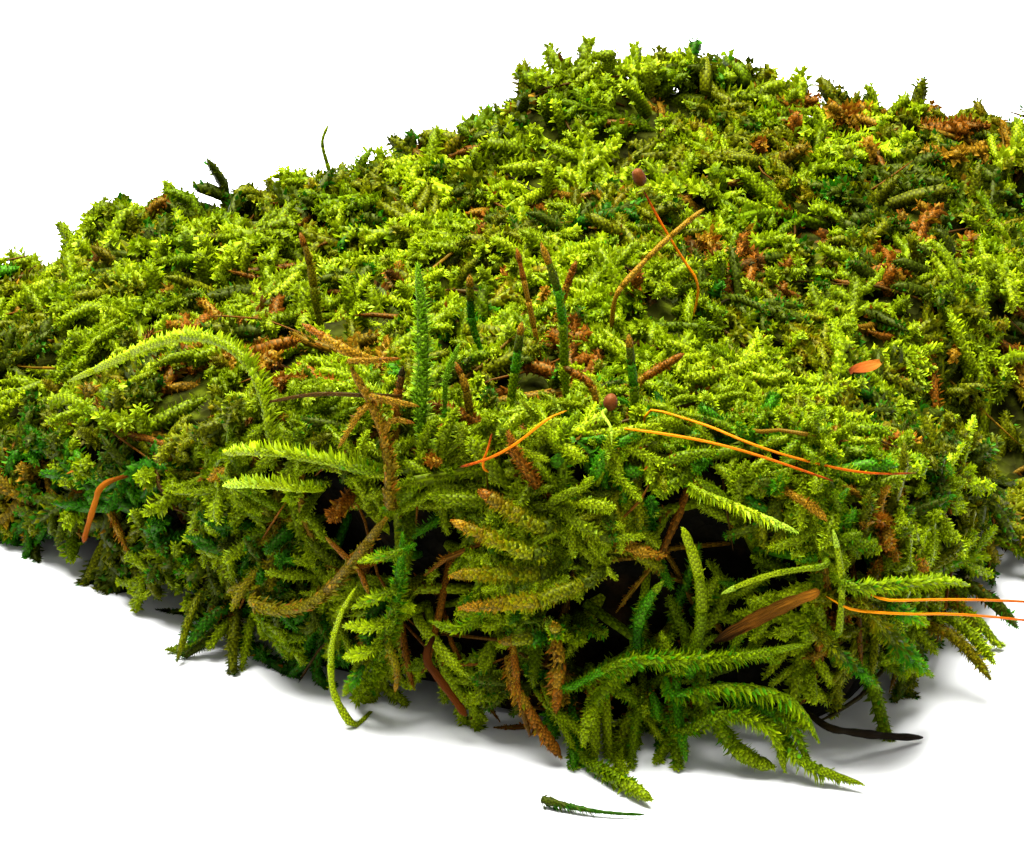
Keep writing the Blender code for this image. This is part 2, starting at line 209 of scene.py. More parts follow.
leafForms = {
    # corners as (across from -1 to 1, along from 0 to 1), and triangles anticlockwise seen from outside
    "coarse": (((0, 0), (-1, 0.45), (0, 1), (1, 0.45)), ((0, 3, 2), (0, 2, 1))),
    "medium": (((0, 0), (-1, 0.42), (0, 0.5), (1, 0.42), (0, 1)),
               ((0, 3, 2), (0, 2, 1), (3, 4, 2), (2, 4, 1))),
}

leafHabit = {
    "turn": 2.39996, "turnSpread": 0.5,            # radians from one leaf to the next, and how it wavers
    "stepSpread": 0.4,                             # how far a leaf strays along the stem, in steps
    "lengths": (0.8, 1.2), "widths": (0.85, 1.15), "bendSpread": 0.5,
    "shortenFrom": 0.75, "shortenBy": 0.5,         # leaves shorten towards the tip
    "closeFrom": 0.85, "closeBy": 0.55,            # and lie closer to the stem
    "deadHues": (0, 4.4),                          # hues of leaves on the buried part of a shoot
    "footPaintedShade": 2.2, "rowSpread": 0.8,           # rows of painted shade that darken a shoot's foot, deep in the mat
}

paletteColumns = 16
paletteRows = 12         # eight rows for leaves, from dark to bright, and four for the stems under them
leafRows = 8


def cellPlace(column, row, across, along):
    # where a leaf's point lies in the table of shades: its column and row, and its place inside that cell
    u = (column + 0.5 + 0.42 * across) / paletteColumns
    v = (row + 0.06 + 0.88 * along) / paletteRows
    return np.stack([u, v], axis=-1)


def fade(share, start):
    # 0 up to the start, then in a straight line to 1 at the tip
    return np.clip((share - start) / (1 - start), 0, 1)


def drawnIn(share):
    # a blunt tip: the root of (1.06 - share^5)
    return np.sqrt(np.clip(1.06 - share ** 5, 0.05, 1))


def leafCloud(paths, radius, hues, shade, style, form, seed, bareFoot=0.0):
    # leaves set spirally on each path: base on the core, direction = cos(spread) tangent + sin(spread) out,
    # then a point = base + along * length * direction + across * width * sideways + bends off that plane
    habit = leafHabit
    rng = np.random.default_rng(seed)
    tangent, side, rise = pathFrames(paths, seed)
    lengths = np.linalg.norm(np.diff(paths, axis=1), axis=2).sum(1)
    counts = np.maximum((lengths * style["perMm"] * (1 - bareFoot)).astype(int), 3)
    owner = np.repeat(np.arange(len(paths)), counts)
    total = len(owner)
    order = np.arange(total) - np.repeat(np.cumsum(counts) - counts, counts)
    share = (order + 0.5 + rng.uniform(-habit["stepSpread"], habit["stepSpread"], total)) / counts[owner]
    share = np.clip(share, 0.0, 1.0) * (1 - bareFoot) + bareFoot
    centre = readAlong(paths, owner, share)
    forward, sideways, upwards = (unit(readAlong(part, owner, share)) for part in (tangent, side, rise))
    thick = readAlong(radius[:, :, None], owner, share)[:, 0]
    turn = order * habit["turn"] + rng.normal(0, habit["turnSpread"], total)
    out = np.cos(turn)[:, None] * sideways + np.sin(turn)[:, None] * upwards
    spread = np.radians(style["spread"]) * (1 - habit["closeBy"] * fade(share, habit["closeFrom"]))
    spread = spread * rng.normal(1.0, style["unruly"], total)
    length = (1 - style["core"]) * thick / np.sin(np.radians(style["spread"])) * style["long"]
    length = length * (1 - habit["shortenBy"] * fade(share, habit["shortenFrom"]))
    length = length * rng.uniform(*habit["lengths"], total)
    width = length * style["wide"] * rng.uniform(*habit["widths"], total)
    direction = np.cos(spread)[:, None] * forward + np.sin(spread)[:, None] * out
    across = unit(np.cross(forward, out) + rng.normal(0, style["unruly"], out.shape))
    outer = np.cross(across, direction)
    base = centre + out * (style["core"] * thick * 0.75 * drawnIn(share))[:, None]
    corners, triangles = (np.array(part) for part in leafForms[form])
    aside, along = corners[:, 0], corners[:, 1]
    a, s = aside[None, :, None], along[None, :, None]
    size, half = length[:, None, None], width[:, None, None] * 0.5
    bend = style["bend"] * rng.normal(1.0, habit["bendSpread"], total)[:, None, None]
    points = base[:, None] + direction[:, None] * size * s + across[:, None] * half * a
    points = points + outer[:, None] * (bend * size * s ** 2 - style["cup"] * half * np.abs(a))
    points = points - upwards[:, None] * (style["curl"] * size * s ** 2)
    hue = hues[owner, 0] + (hues[owner, 1] - hues[owner, 0]) * share ** style["ripens"]
    deadHue = rng.uniform(*habit["deadHues"], total)
    hue = np.where(share < hues[owner, 2], deadHue, hue + rng.normal(0, style["hueJitter"], total))
    hue = np.clip(np.round(hue), 0, paletteColumns - 1)
    # painted shade: leaves darken towards the shoot's foot, where it lies deep in the mat
    row = shade[owner] - habit["footPaintedShade"] * (1 - share) + rng.normal(0, habit["rowSpread"], total)
    row = np.clip(np.round(row), 0, leafRows - 1)
    uv = cellPlace(hue[:, None], row[:, None], aside[None, :], along[None, :])
    starts = np.arange(total)[:, None, None] * len(corners)
    return points.reshape(-1, 3), (triangles[None] + starts).reshape(-1, 3), uv.reshape(-1, 2)


def tubes(paths, radius, sides, seed, uvOf=None, flatness=1.0):
    # rings of points, centre + radius * (cos turn * side + flatness * sin turn * rise), closed at both ends;
    # the radius may differ round a ring
    tangent, side, rise = pathFrames(paths, seed)
    count, steps = paths.shape[:2]
    turn = np.arange(sides) * 2 * math.pi / sides
    ring = np.cos(turn)[:, None] * side[:, :, None] + flatness * np.sin(turn)[:, None] * rise[:, :, None]
    radius = radius.reshape(count, steps, -1, 1)
    points = paths[:, :, None] + ring * radius
    tubeStarts = np.arange(count)[:, None, None] * steps * sides
    start = tubeStarts + (np.arange(steps - 1) * sides)[None, :, None]
    here = np.arange(sides)[None, None, :]
    low, after = start + here, start + (here + 1) % sides
    quads = np.stack([low, after, after + sides, low, after + sides, low + sides], axis=-1)
    fan = np.arange(1, sides - 1)
    foot = np.stack([0 * fan, fan + 1, fan], axis=-1)[None] + tubeStarts
    tip = np.stack([0 * fan, fan, fan + 1], axis=-1)[None] + tubeStarts + (steps - 1) * sides
    triangles = np.vstack([quads.reshape(-1, 3), foot.reshape(-1, 3), tip.reshape(-1, 3)])
    around = np.abs(2 * np.arange(sides) / sides - 1)[None, None, :] * np.ones((count, steps, 1))
    along = np.linspace(0, 1, steps)[None, :, None] * np.ones((count, 1, sides))
    uv = uvOf(around, along) if uvOf else np.stack([around, along], axis=-1)
    return points.reshape(-1, 3), triangles, uv.reshape(-1, 2)


def shootBodies(paths, radius, hues, shade, sides, seed, blunt=True, scalesMm=9.0):
    # the body that the leaves clasp: radius * (1 + noise at each ring), drawn in to a blunt point at the tip;
    # the pattern of scales runs to and fro along it, once in every scalesMm
    rng = np.random.default_rng(seed)
    steps = paths.shape[1]
    share = np.linspace(0, 1, steps)[None, :]
    lumpy = radius * (1 + 0.1 * rng.normal(size=radius.shape))
    if blunt:
        lumpy = lumpy * drawnIn(share)
    hue = hues[:, :1] + (hues[:, 1:2] - hues[:, :1]) * share
    hue = np.where(share < hues[:, 2:3], np.minimum(hue, 4.0), hue)
    hue = np.clip(np.round(hue[:, [steps // 2]]), 0, paletteColumns - 1)[:, :, None]
    row = np.clip(np.round((shade - 1.0) / 2.0), 0, 3)[:, None, None] + leafRows
    length = np.linalg.norm(np.diff(paths, axis=1), axis=2).sum(1)[:, None, None]

    def uvOf(around, along):
        toAndFro = 1 - np.abs(np.mod(length * along / scalesMm, 2.0) - 1)
        return cellPlace(hue + 0 * around, row + 0 * around, 1.9 * around - 0.95, toAndFro)
    return tubes(paths, lumpy, sides, seed, uvOf)


def makePiece(name, parts, material, slotName, replaced=()):
    # joins the arrays into one mesh, puts it in the frame, hides the nodes it replaces and prints its
    # triangles
    points, triangles, uv, offset = [], [], [], 0
    for partPoints, partTriangles, partUv in parts:
        points.append(partPoints)
        triangles.append(partTriangles + offset)
        uv.append(partUv)
        offset += len(partPoints)
    points, triangles, uv = np.vstack(points), np.vstack(triangles), np.vstack(uv)
    points[:, 2] = np.maximum(points[:, 2], 0.05)
    mesh = bpy.data.meshes.new(name)
    mesh.vertices.add(len(points))
    mesh.vertices.foreach_set("co", ((points + planShift) * mm).astype(np.float32).ravel())
    mesh.loops.add(len(triangles) * 3)
    mesh.loops.foreach_set("vertex_index", triangles.astype(np.int32).ravel())
    mesh.polygons.add(len(triangles))
    mesh.polygons.foreach_set("loop_start", (np.arange(len(triangles)) * 3).astype(np.int32))
    mesh.polygons.foreach_set("use_smooth", np.ones(len(triangles), bool))
    layer = mesh.uv_layers.new(name="OFBake")
    layer.data.foreach_set("uv", uv[triangles.ravel()].astype(np.float32).ravel())
    mesh.update()
    mesh.materials.append(material)
    piece = bpy.data.objects.new(name, mesh)
    bpy.context.scene.collection.objects.link(piece)
    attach(piece, "root")
    if replaced:
        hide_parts(*replaced)
    print("moss clump:", name, len(triangles), "triangles")
    return piece


# materials

def linear(shade):
    # 0 to 255 display values to linear light
    return tuple(((v / 255.0 + 0.055) / 1.055) ** 2.4 if v > 10 else v / 3294.6 for v in shade) + (1.0,)


def newMaterial(name):
    # a material with its nodes, and the functions that fill and add nodes in it
    material = bpy.data.materials.new(name)
    material.use_nodes = True
    nodes, links = material.node_tree.nodes, material.node_tree.links

    def fill(node, inputs):
        # each input gets its value, or a link from its socket
        for key, value in inputs.items():
            if isinstance(value, bpy.types.NodeSocket):
                links.new(value, node.inputs[key])
            else:
                node.inputs[key].default_value = value
        return node

    def add(kind, inputs, **settings):
        node = nodes.new("ShaderNode" + kind)
        for key, value in settings.items():
            setattr(node, key, value)
        return fill(node, inputs)

    def calc(operation, *values):
        return add("Math", dict(enumerate(values)), operation=operation).outputs[0]

    def ramp(source, stops, blend="LINEAR"):
        # stops are (place, display colour)
        node = add("ValToRGB", {0: source})
        node.color_ramp.interpolation = blend
        elements = node.color_ramp.elements
        while len(elements) < len(stops):
            elements.new(1.0)
        for element, (place, colour) in zip(elements, stops):
            element.position = place
            element.color = linear(colour)
        return node.outputs[0]

    return material, nodes, fill, add, calc, ramp


leafLook = {
    # the shades that leaves take, from dead to fresh, as display colours
    "shades": (
        (34, 20, 5), (88, 52, 9), (142, 82, 13), (156, 114, 18), (114, 92, 8), (124, 112, 4),
        (112, 118, 2), (66, 80, 4), (36, 98, 6), (66, 132, 8), (104, 131, 2), (130, 153, 4),
        (156, 177, 10), (172, 204, 52), (122, 160, 20), (96, 140, 12),
    ),
    "darkest": 0.38, "rowStep": 0.14,                     # brightness of the lowest row, and of each row more
    "base": 0.56, "tipGlintGain": 1.15, "tipPower": 2.4,       # a leaf brightens from painted shade at its base to a painted highlight, a glint, at its tip
    "midrib": 0.85, "edgeGain": 0.7,                      # and from its middle to its edges
    "stemDarkest": 0.42, "stemStep": 0.26,
    # the scales' files and rings, and the painted shade that darkens each scale where the next one overlaps
    # it
    "scaleFiles": 9.0, "scaleRings": 22.0, "scaleShade": 0.22, "scaleGain": 1.15, "scalePower": 1.6,
    "scaleRound": 1.1,
    "roughness": 0.5, "gloss": 0.16, "glossTint": (0.9, 1.0, 0.2, 1.0), "glow": 0.3,
}


def leafMaterial():
    # reads the table of shades: column = hue, row = brightness, and inside a cell the place on the leaf
    look = leafLook
    material, nodes, fill, add, calc, ramp = newMaterial("mossLeaf")
    split = add("SeparateXYZ", {0: add("UVMap", {}, uv_map="OFBake").outputs[0]})
    rows = calc("MULTIPLY", split.outputs[1], float(paletteRows))
    row, along = calc("FLOOR", rows), calc("FRACT", rows)
    columns = calc("MULTIPLY", split.outputs[0], float(paletteColumns))
    aside = calc("ABSOLUTE", calc("SUBTRACT", calc("FRACT", columns), 0.5))
    stops = [(k / paletteColumns, shade) for k, shade in enumerate(look["shades"])]
    hue = ramp(split.outputs[0], stops, "CONSTANT")
    bright = calc("MULTIPLY_ADD", row, look["rowStep"], look["darkest"])
    # painted light: each leaf is darker at its base and carries a painted glint at its tip
    tipGlint = calc("MULTIPLY_ADD", calc("POWER", along, look["tipPower"]), look["tipGlintGain"], look["base"])
    edged = calc("MULTIPLY_ADD", aside, look["edgeGain"], look["midrib"])
    leafLevel = calc("MULTIPLY", calc("MULTIPLY", bright, tipGlint), edged)
    # the clasping leaf bases on a stem: rows of rounded scales, every other file shifted by half a scale;
    # each scale is painted darker at one end and at its sides, as painted shade between the overlapping
    # scales
    files = calc("MULTIPLY", aside, look["scaleFiles"])
    shifted = calc("MULTIPLY", calc("FLOOR", files), 0.5)
    rings = calc("FRACT", calc("ADD", calc("MULTIPLY", along, look["scaleRings"]), shifted))
    edge = calc("ABSOLUTE", calc("SUBTRACT", calc("FRACT", files), 0.5))
    rounded = calc("MULTIPLY_ADD", edge, -look["scaleRound"], 1.0)
    scaleShading = calc("MULTIPLY", calc("POWER", rings, look["scalePower"]), rounded)
    scaleShading = calc("MULTIPLY_ADD", scaleShading, look["scaleGain"], look["scaleShade"])
    stemDarkest = look["stemDarkest"] - look["stemStep"] * leafRows
    stemLevel = calc("MULTIPLY", scaleShading, calc("MULTIPLY_ADD", row, look["stemStep"], stemDarkest))
    onStem = calc("GREATER_THAN", row, leafRows - 0.5)
    level = add("Mix", {0: onStem, 2: leafLevel, 3: stemLevel}, data_type="FLOAT").outputs[0]
    colour = add("VectorMath", {0: hue, "Scale": level}, operation="SCALE").outputs[0]
    shader = fill(nodes["Principled BSDF"], {
        "Base Color": colour, "Roughness": look["roughness"], "Specular IOR Level": look["gloss"],
        "Specular Tint": look["glossTint"]})
    through = add("BsdfTranslucent", {0: colour})
    both = add("MixShader", {0: look["glow"], 1: shader.outputs[0], 2: through.outputs[0]})
    fill(nodes["Material Output"], {0: both.outputs[0]})
    return material


mossLeaf = leafMaterial()


# the shoots that stand out: foot to tip radii and route, in millimetres in plan

shootRoutes = {
    "dead_stem_lower": ((0.85, 0.75), ((-21.5, 6.5, 8.5), (-19.5, 5.5, 7), (-15.5, 4.5, 10.6),
        (-12, 2, 16.2), (-10.4, 1, 19.4))),
    "dead_stem_upper": ((0.75, 0.6), ((-10, 1, 21.5), (-9, 1.4, 24.2), (-10, 2.5, 27.2),
        (-12.4, 3.5, 30.6), (-13, 3.9, 31.6))),
    "dead_stem_tip": ((0.55, 0.3), ((-13.7, 4.2, 33.2), (-15.1, 5, 34), (-17, 6, 34.6))),
    "dead_twig_1": ((0.4, 0.3), ((-11.9, 4, 32.2), (-11, 4, 32), (-9, 4, 32.4))),
    "dead_twig_2": ((0.5, 0.25), ((-10.4, 2.6, 29.5), (-9.4, 2.4, 29.6), (-7.5, 2.2, 29))),
    "dead_twig_3": ((0.4, 0.25), ((-9.2, 1.8, 28), (-7.9, 1.6, 27.8))),
    "dead_twig_4": ((0.45, 0.25), ((-12.2, 2.2, 28.2), (-13.4, 1.6, 26.8), (-14, 1.4, 25.7))),
    "feather_stem": ((0.7, 0.9, 0.85, 0.6), ((-13, 3, 1.6), (-11.3, 0.9, 5), (-10, 0, 9.2),
        (-9, -0.2, 14.8), (-8.9, 0, 18.6))),
    "feather_branch_1": ((0.6, 0.4), ((-10, -0.5, 17), (-12.4, 1, 15.8))),
    "feather_branch_2": ((0.6, 0.4), ((-10.6, -0.4, 13.2), (-13.2, 1, 11.2))),
    "feather_branch_3": ((0.65, 0.45), ((-11.2, 0, 10.3), (-14, 1.6, 9.2))),
    "feather_branch_4": ((0.65, 0.45), ((-11.6, 0.8, 7.8), (-14, 2, 6))),
    "feather_branch_5": ((0.6, 0.4), ((-12.3, 1.4, 5.2), (-14, 2.2, 2.4))),
    "loop_whip": ((0.5, 0.4, 0.25), ((-13.6, 0.6, 0.6), (-15.4, 1.4, 2.4), (-15.6, 1.6, 6),
        (-14.6, 0.9, 10), (-12.8, 0.2, 13.6))),
    "arched_shoot": ((0.8, 0.85, 0.6), ((-19.8, 6.6, 24), (-20.2, 7.4, 27.5), (-20.6, 8.4, 30.2),
        (-24.8, 12, 31.2), (-29.4, 16, 29), (-34, 20, 25.2), (-39, 24, 21.4))),
    "lying_shoot_1": ((0.85, 0.7), ((-12.6, 1.5, 23.8), (-16, 3.5, 23.8), (-20, 6, 23.4),
        (-24, 8.5, 21.8))),
    "lying_shoot_2": ((0.75, 0.6), ((-18, 4, 20.8), (-20.6, 5.6, 21), (-24, 8, 19))),
    "upright_shoot": ((0.9, 0.85, 0.6), ((-7.4, 6, 28), (-7, 6.4, 32), (-7.6, 7, 39.4))),
    "upright_branch": ((0.45, 0.4), ((-5.2, 6, 30.4), (-4.3, 5.9, 32.8))),
    "dark_tip_1": ((0.55, 0.45), ((4.4, 14, 27.6), (4.4, 14, 34), (2.4, 14, 38.4))),
    "dark_tip_2": ((0.5, 0.4), ((0.2, 12, 27.4), (0.8, 12.4, 32))),
    "dark_tip_3": ((0.5, 0.4), ((10, 7, 28.4), (9.5, 7.6, 33))),
    "brown_spike": ((0.5, 0.6, 0.4), ((10.8, 9, 28.4), (14.2, 10, 30.2))),
    "brown_stalk_1": ((0.35, 0.3), ((9.5, 27, 29), (12, 29, 31.6), (17, 32, 34.6))),
    "brown_stalk_2": ((0.35, 0.3), ((1.6, 23, 28.6), (0.4, 24, 34))),
    "finger_1": ((0.9, 0.85, 0.7), ((1.6, -4.4, 21.6), (-0.6, -3.4, 22.6), (-2.6, -2.2, 23.6))),
    "finger_2": ((0.9, 0.85, 0.65), ((1.6, -4.4, 19.6), (-1.6, -3.6, 19.6), (-4.8, -2, 20.8))),
    "finger_3": ((0.9, 0.8, 0.6), ((1.6, -4.8, 17.4), (-2.4, -4, 17.6), (-5, -2.8, 16.2))),
    "finger_4": ((0.8, 0.9, 0.8, 0.7), ((6, -5.4, 17), (4.4, -5.8, 16.6), (0, -5.2, 15),
        (-4.2, -3.4, 13.6))),
    "bud_shoot": ((0.7, 0.75), ((3.6, -5.4, 12.4), (3.4, -6.6, 13.8))),
    "hanging_brown_shoot": ((0.8, 0.95, 0.5), ((3.8, -4.8, 10), (4.2, -5, 7.8), (3.6, -4.8, 4.6))),
    "foot_stem": ((0.8, 0.8), ((0.4, -4.6, 6.6), (1.6, -4.8, 3.4), (4, -5.6, 1))),
    "front_finger": ((0.7, 0.95, 0.95, 0.7), ((6.2, -6.4, 0.9), (8.2, -8.6, 0.9), (9.8, -10.8, 0.9),
        (11.2, -12.2, 0.9))),
    "curled_shoot": ((0.8, 0.85, 0.75), ((9.8, -3.6, 8.2), (7, -4.2, 7.8), (5.2, -6, 5.8),
        (5.8, -7, 2.8))),
    "cup_shoot": ((0.7, 0.9, 0.5), ((10.2, -3.8, 10.8), (8.6, -4, 13.4), (10, -4, 15.2),
        (12.2, -4, 16.4))),
    "twisted_shoot": ((0.75, 0.65, 0.6), ((14.6, -4.4, 8.6), (15.8, -4, 11), (15.6, -3.4, 15.6),
        (14.8, -3.6, 19.4), (13.6, -4, 21.2))),
    "fork_shoot": ((0.7, 0.6), ((13.2, -4.2, 9.4), (12.1, -4, 11.6))),
    "pale_shoot": ((0.55, 0.6, 0.5), ((15.3, -4, 24.2), (19, -5, 23.2), (22.6, -6, 21.8))),
    "cross_whip": ((0.4, 0.35, 0.3), ((24.4, -6.6, 19), (21, -5.6, 18.6), (18, -4.6, 16.4),
        (16.8, -4.4, 15.4))),
    "right_whip": ((0.45, 0.4, 0.35), ((26.2, -6.4, 13.2), (26.9, -6.4, 17), (25.4, -6, 22))),
    "bark_twig": ((0.6, 0.7, 0.45), ((16.8, -4.4, 11.2), (20.8, -5, 14.6), (24.4, -7, 17))),
    "reaching_shoot": ((0.75, 0.7, 0.4), ((27.4, -6.6, 17.4), (29.8, -5.6, 16.6), (33, -3, 15.6),
        (36.4, 0.4, 14.8), (37.8, 2, 12.8))),
    "braided_shoot": ((0.85, 1.0, 0.9), ((15.6, -4.6, 6.6), (16.6, -5.2, 4), (17.6, -6.4, 1.4),
        (18.6, -8, 1), (20.4, -8.4, 1), (21.4, -7.4, 1))),
    "low_shoot": ((0.8, 0.85, 0.5), ((22, -5.6, 3.4), (23.8, -6.8, 0.9), (26, -8.2, 0.9),
        (28.4, -9.8, 0.9))),
    "tassel_1": ((0.8, 0.85, 0.5), ((29.2, -6, 14), (31.4, -4, 10.4), (33.6, -1.4, 7), (35, 0.6, 5))),
    "tassel_2": ((0.7, 0.6), ((31, -5.2, 14.4), (33.8, -2.8, 11.8))),
    "tassel_3": ((0.75, 0.5), ((26, -7, 11.6), (28, -6.4, 9), (30, -5, 7))),
    "seta_1": ((0.14, 0.12), ((11.5, 3.6, 28), (14.7, 1.4, 28.2), (20.4, -2.2, 27.2), (25.2, -3, 26),
        (29.4, -1.2, 24.2), (32.6, 0.2, 24))),
    "seta_2": ((0.14, 0.12), ((11, -1.4, 28.4), (16, -2.4, 28.2), (22, -4, 26.6), (25.4, -4.6, 25.6))),
    "seta_3": ((0.14, 0.14), ((2.2, -2.2, 29.4), (1, -2.6, 27.8), (-2, -1.6, 25.4), (-4.2, -0.4, 24.8))),
    "seta_4": ((0.14, 0.12), ((27.6, -7.2, 15.4), (35, -4.2, 13.6), (42, -1, 11.2), (46, 1, 9.6))),
    "seta_5": ((0.14, 0.12), ((30, -6.4, 16), (36, -3, 14.2), (42, 0, 12.4), (45.4, 1.8, 11.2))),
    "capsule_seta": ((0.16, 0.14), ((16.2, 29.6, 29), (13.6, 31, 32.4), (11.6, 32.2, 36.2))),
    "orange_needle": ((0.4, 0.35), ((-36.4, 20.6, 12.4), (-37.6, 21, 9.4), (-38.2, 21.6, 6.8))),
    "sunk_needle": ((0.35, 0.3), ((-6.8, -1.8, 7.4), (-3.8, -1.8, 2.6))),
    "black_stick": ((0.4, 0.45, 0.3), ((26.4, -5.4, 3.4), (29.6, -4, 2), (32.4, -2.4, 0.6),
        (34.2, -1.6, 0.4))),
    "fallen_sprig": ((0.7, 0.5, 0.25, 0.3), ((2.4, -11.8, 0.7), (4.6, -13, 0.6), (7.2, -13.9, 0.4),
        (9.2, -14.4, 0.4), (10.6, -13.6, 0.4))),
}


def settleShoots(routes, gap=0.45, step=1.7, mostStep=2.0, passes=8):
    # each route in turn is pushed out along the mat's normal until it clears the mat, the ground and the
    # shoots laid before it, and is smoothed between the pushes
    laid, laidRadius, settled = np.zeros((0, 3)), np.zeros(0), {}

    def clear(place, radius):
        spot, normal, face, far = matSurface.find_nearest(Vector(place))
        height = (Vector(place) - spot).dot(normal)
        if normal.z < 0.0:
            normal = Vector((normal.x, normal.y, 0.0)).normalized()
        normal = np.array(normal)
        place = place + normal * max(0.0, radius + gap - height)
        if len(laid):
            offset = place - laid
            along = offset @ normal
            need = (offset ** 2).sum(1) - (radius + laidRadius + gap) ** 2
            close = need < 0.0
            if close.any():
                push = -along[close] + np.sqrt(along[close] ** 2 - need[close])
                place = place + normal * min(push.max(), mostStep)
        place[2] = max(place[2], radius)
        return place

    for name, (radii, route) in routes.items():
        length = np.linalg.norm(np.diff(np.array(route, float), axis=0), axis=1).sum()
        count = max(4, int(length / step) + 1)
        path = evenSteps(throughPoints(route, 10), count)
        radius = np.interp(np.linspace(0, 1, count), np.linspace(0, 1, len(radii)), radii)
        for _ in range(passes):
            path = np.array([clear(p, r) for p, r in zip(path, radius)])
            path[1:-1] = 0.5 * path[1:-1] + 0.25 * (path[:-2] + path[2:])
        path = np.array([clear(p, r) for p, r in zip(path, radius)])
        dense = evenSteps(np.column_stack([path, radius]), count * 4)
        laid, laidRadius = np.vstack([laid, dense[:, :3]]), np.concatenate([laidRadius, dense[:, 3]])
        settled[name] = evenSteps(throughPoints(np.column_stack([path, radius]), 8), heroPoints)
    return settled


extraRoutes = {
    # shoots too small or too deep in the mat for a solid of their own, laid just as they are
    "pink_finger": ((0.7, 0.75, 0.6), ((3.0, -2.8, 10.6), (1.2, -4.6, 11.4), (-1.0, -4.4, 11.0))),
    "left_leafy_shoot": ((0.55, 0.75, 0.5), ((-2.0, -1.6, 12.4), (-4.4, -2.2, 11.0), (-6.7, -1.6, 11.4))),
    "dark_tip_4": ((0.5, 0.4), ((-18.1, 38.9, 23.0), (-18.6, 39.4, 26.6), (-19.4, 40, 29.2))),
    "dark_tip_5": ((0.45, 0.35), ((-3.4, 7.0, 26.0), (-3.9, 7.4, 28.6), (-4.7, 8, 30.4))),
    "dark_tip_6": ((0.5, 0.45), ((-3.6, 26.0, 27.0), (-3.7, 26.2, 30.6))),
    "dark_tip_7": ((0.5, 0.5), ((6.1, 7.8, 28.8), (4.3, 8.6, 29.6))),
    "dark_tip_8": ((0.5, 0.45), ((4.6, 27.0, 28.6), (5.6, 27.4, 31.4))),
    "dark_bud": ((0.5, 0.35), ((-9.3, 6.7, 28.0), (-8.9, 7.0, 30.4))),
    "brown_root": ((0.5, 0.35), ((0.3, -4.2, 8.4), (0.7, -5.0, 5.6), (1.5, -5.2, 2.7))),
    "thin_twig": ((0.28, 0.2), ((-11.6, 3.4, 29.4), (-16, 5.4, 28.6), (-20.6, 7.6, 26.8))),
    "brown_twig_1": ((0.35, 0.25), ((-13.4, 3.4, 14.3), (-15.5, 4.8, 15.9))),
    "brown_twig_2": ((0.35, 0.25), ((-12.7, 2.4, 14.4), (-11.8, 1.2, 12.4))),
    "feather_branch_6": ((0.6, 0.35), ((-10.2, -0.4, 8.4), (-9.5, -0.8, 6.4), (-9.7, -0.6, 4.2))),
    "skyline_wisp": ((0.3, 0.2), ((-19, 77, 22), (-19.5, 77, 24.6), (-18.8, 77, 26.6))),
    "front_frond": ((0.55, 0.8, 0.9, 0.8, 0.5), ((5.0, -5.6, 7.6), (9.2, -5.8, 10.0), (14.4, -5.6, 10.0),
        (19.2, -6.2, 10.8), (23.6, -6.8, 12.2))),
    "low_frond_1": ((0.7, 0.9, 0.8, 0.5), ((13.6, -5.4, 6.8), (18.2, -6.4, 7.9), (22.6, -6.8, 6.8),
        (25.0, -7.0, 3.2))),
    "low_frond_2": ((0.7, 0.9, 0.85, 0.6), ((14.2, -5.6, 3.4), (17.4, -6.8, 5.7), (21.0, -7.2, 4.4),
        (22.2, -8.0, 1.0))),
    "low_frond_3": ((0.7, 0.8, 0.5), ((19.4, -5.6, 5.6), (22.4, -6.8, 5.0), (24.4, -8.0, 1.0))),
    "pale_curl": ((0.22, 0.14), ((7.5, 1.0, 29.2), (7.2, -0.4, 29.5), (7.8, -2.2, 29.2), (7.9, -2.9, 28.0))),
    "seta_fork": ((0.14, 0.1), ((-2.3, -0.9, 25.6), (-1.9, -0.9, 26.8), (-1.6, -0.8, 28.0))),
    "brown_bud": ((0.45, 0.6, 0.4), ((22.6, -3.4, 23.6), (24.0, -4.2, 23.0), (25.0, -4.8, 22.2))),
}

settled = settleShoots(shootRoutes)
for name, (radii, route) in extraRoutes.items():
    along = np.interp(np.linspace(0, 1, len(route)), np.linspace(0, 1, len(radii)), radii)
    settled[name] = evenSteps(throughPoints(np.column_stack([np.array(route, float), along]), 10), heroPoints)
print("moss clump: shoots laid out")

leafBase = dict(spread=34, long=1.15, wide=0.5, core=0.58, cup=0.7, bend=0.3, curl=0.0, unruly=0.2,
                ripens=1.0, hueJitter=0.6, stout=1.0)
leafStyles = {
    # leaves per mm, spread off the stem in degrees, length and width as shares, the body's share of the
    # thickness, how leaves cup, bend and curl, how unruly they are, how their hue ripens towards the tip and
    # wavers, and how much stouter the shoot is than its solid
    "turf": dict(leafBase, perMm=17, spread=40, wide=0.55, core=0.62, cup=0.5, curl=0.15, unruly=0.3,
                 ripens=0.8, hueJitter=0.45),
    "feathery": dict(leafBase, perMm=30, spread=42, long=1.25, wide=0.36, core=0.5, cup=0.45, bend=0.25,
                     curl=0.1),
    "braided": dict(leafBase, perMm=22, spread=46, long=1.25, core=0.48, bend=-0.2, curl=0.7, unruly=0.26),
    "capped": dict(leafBase, perMm=24, spread=48, bend=-0.2, curl=0.3, unruly=0.24, ripens=4.0, stout=1.25),
    "catkin": dict(leafBase, perMm=26, long=1.1, wide=0.7, core=0.64, bend=0.35, unruly=0.18, ripens=2.6,
                   hueJitter=0.5),
    "whip": dict(leafBase, perMm=11, spread=30, long=1.0, wide=0.42, core=0.66, cup=0.4, hueJitter=0.4),
    "withered": dict(leafBase, perMm=26, long=1.1, cup=1.3, bend=-0.3, curl=0.4, unruly=0.55, hueJitter=1.1),
    "bare": dict(leafBase, perMm=9, long=1.5, wide=0.45, core=0.72, cup=0.8, bend=-0.3, curl=0.2, unruly=0.5,
                 ripens=3.0),
    "hairy": dict(leafBase, perMm=36, spread=50, wide=0.2, core=0.55, cup=0.4),
}

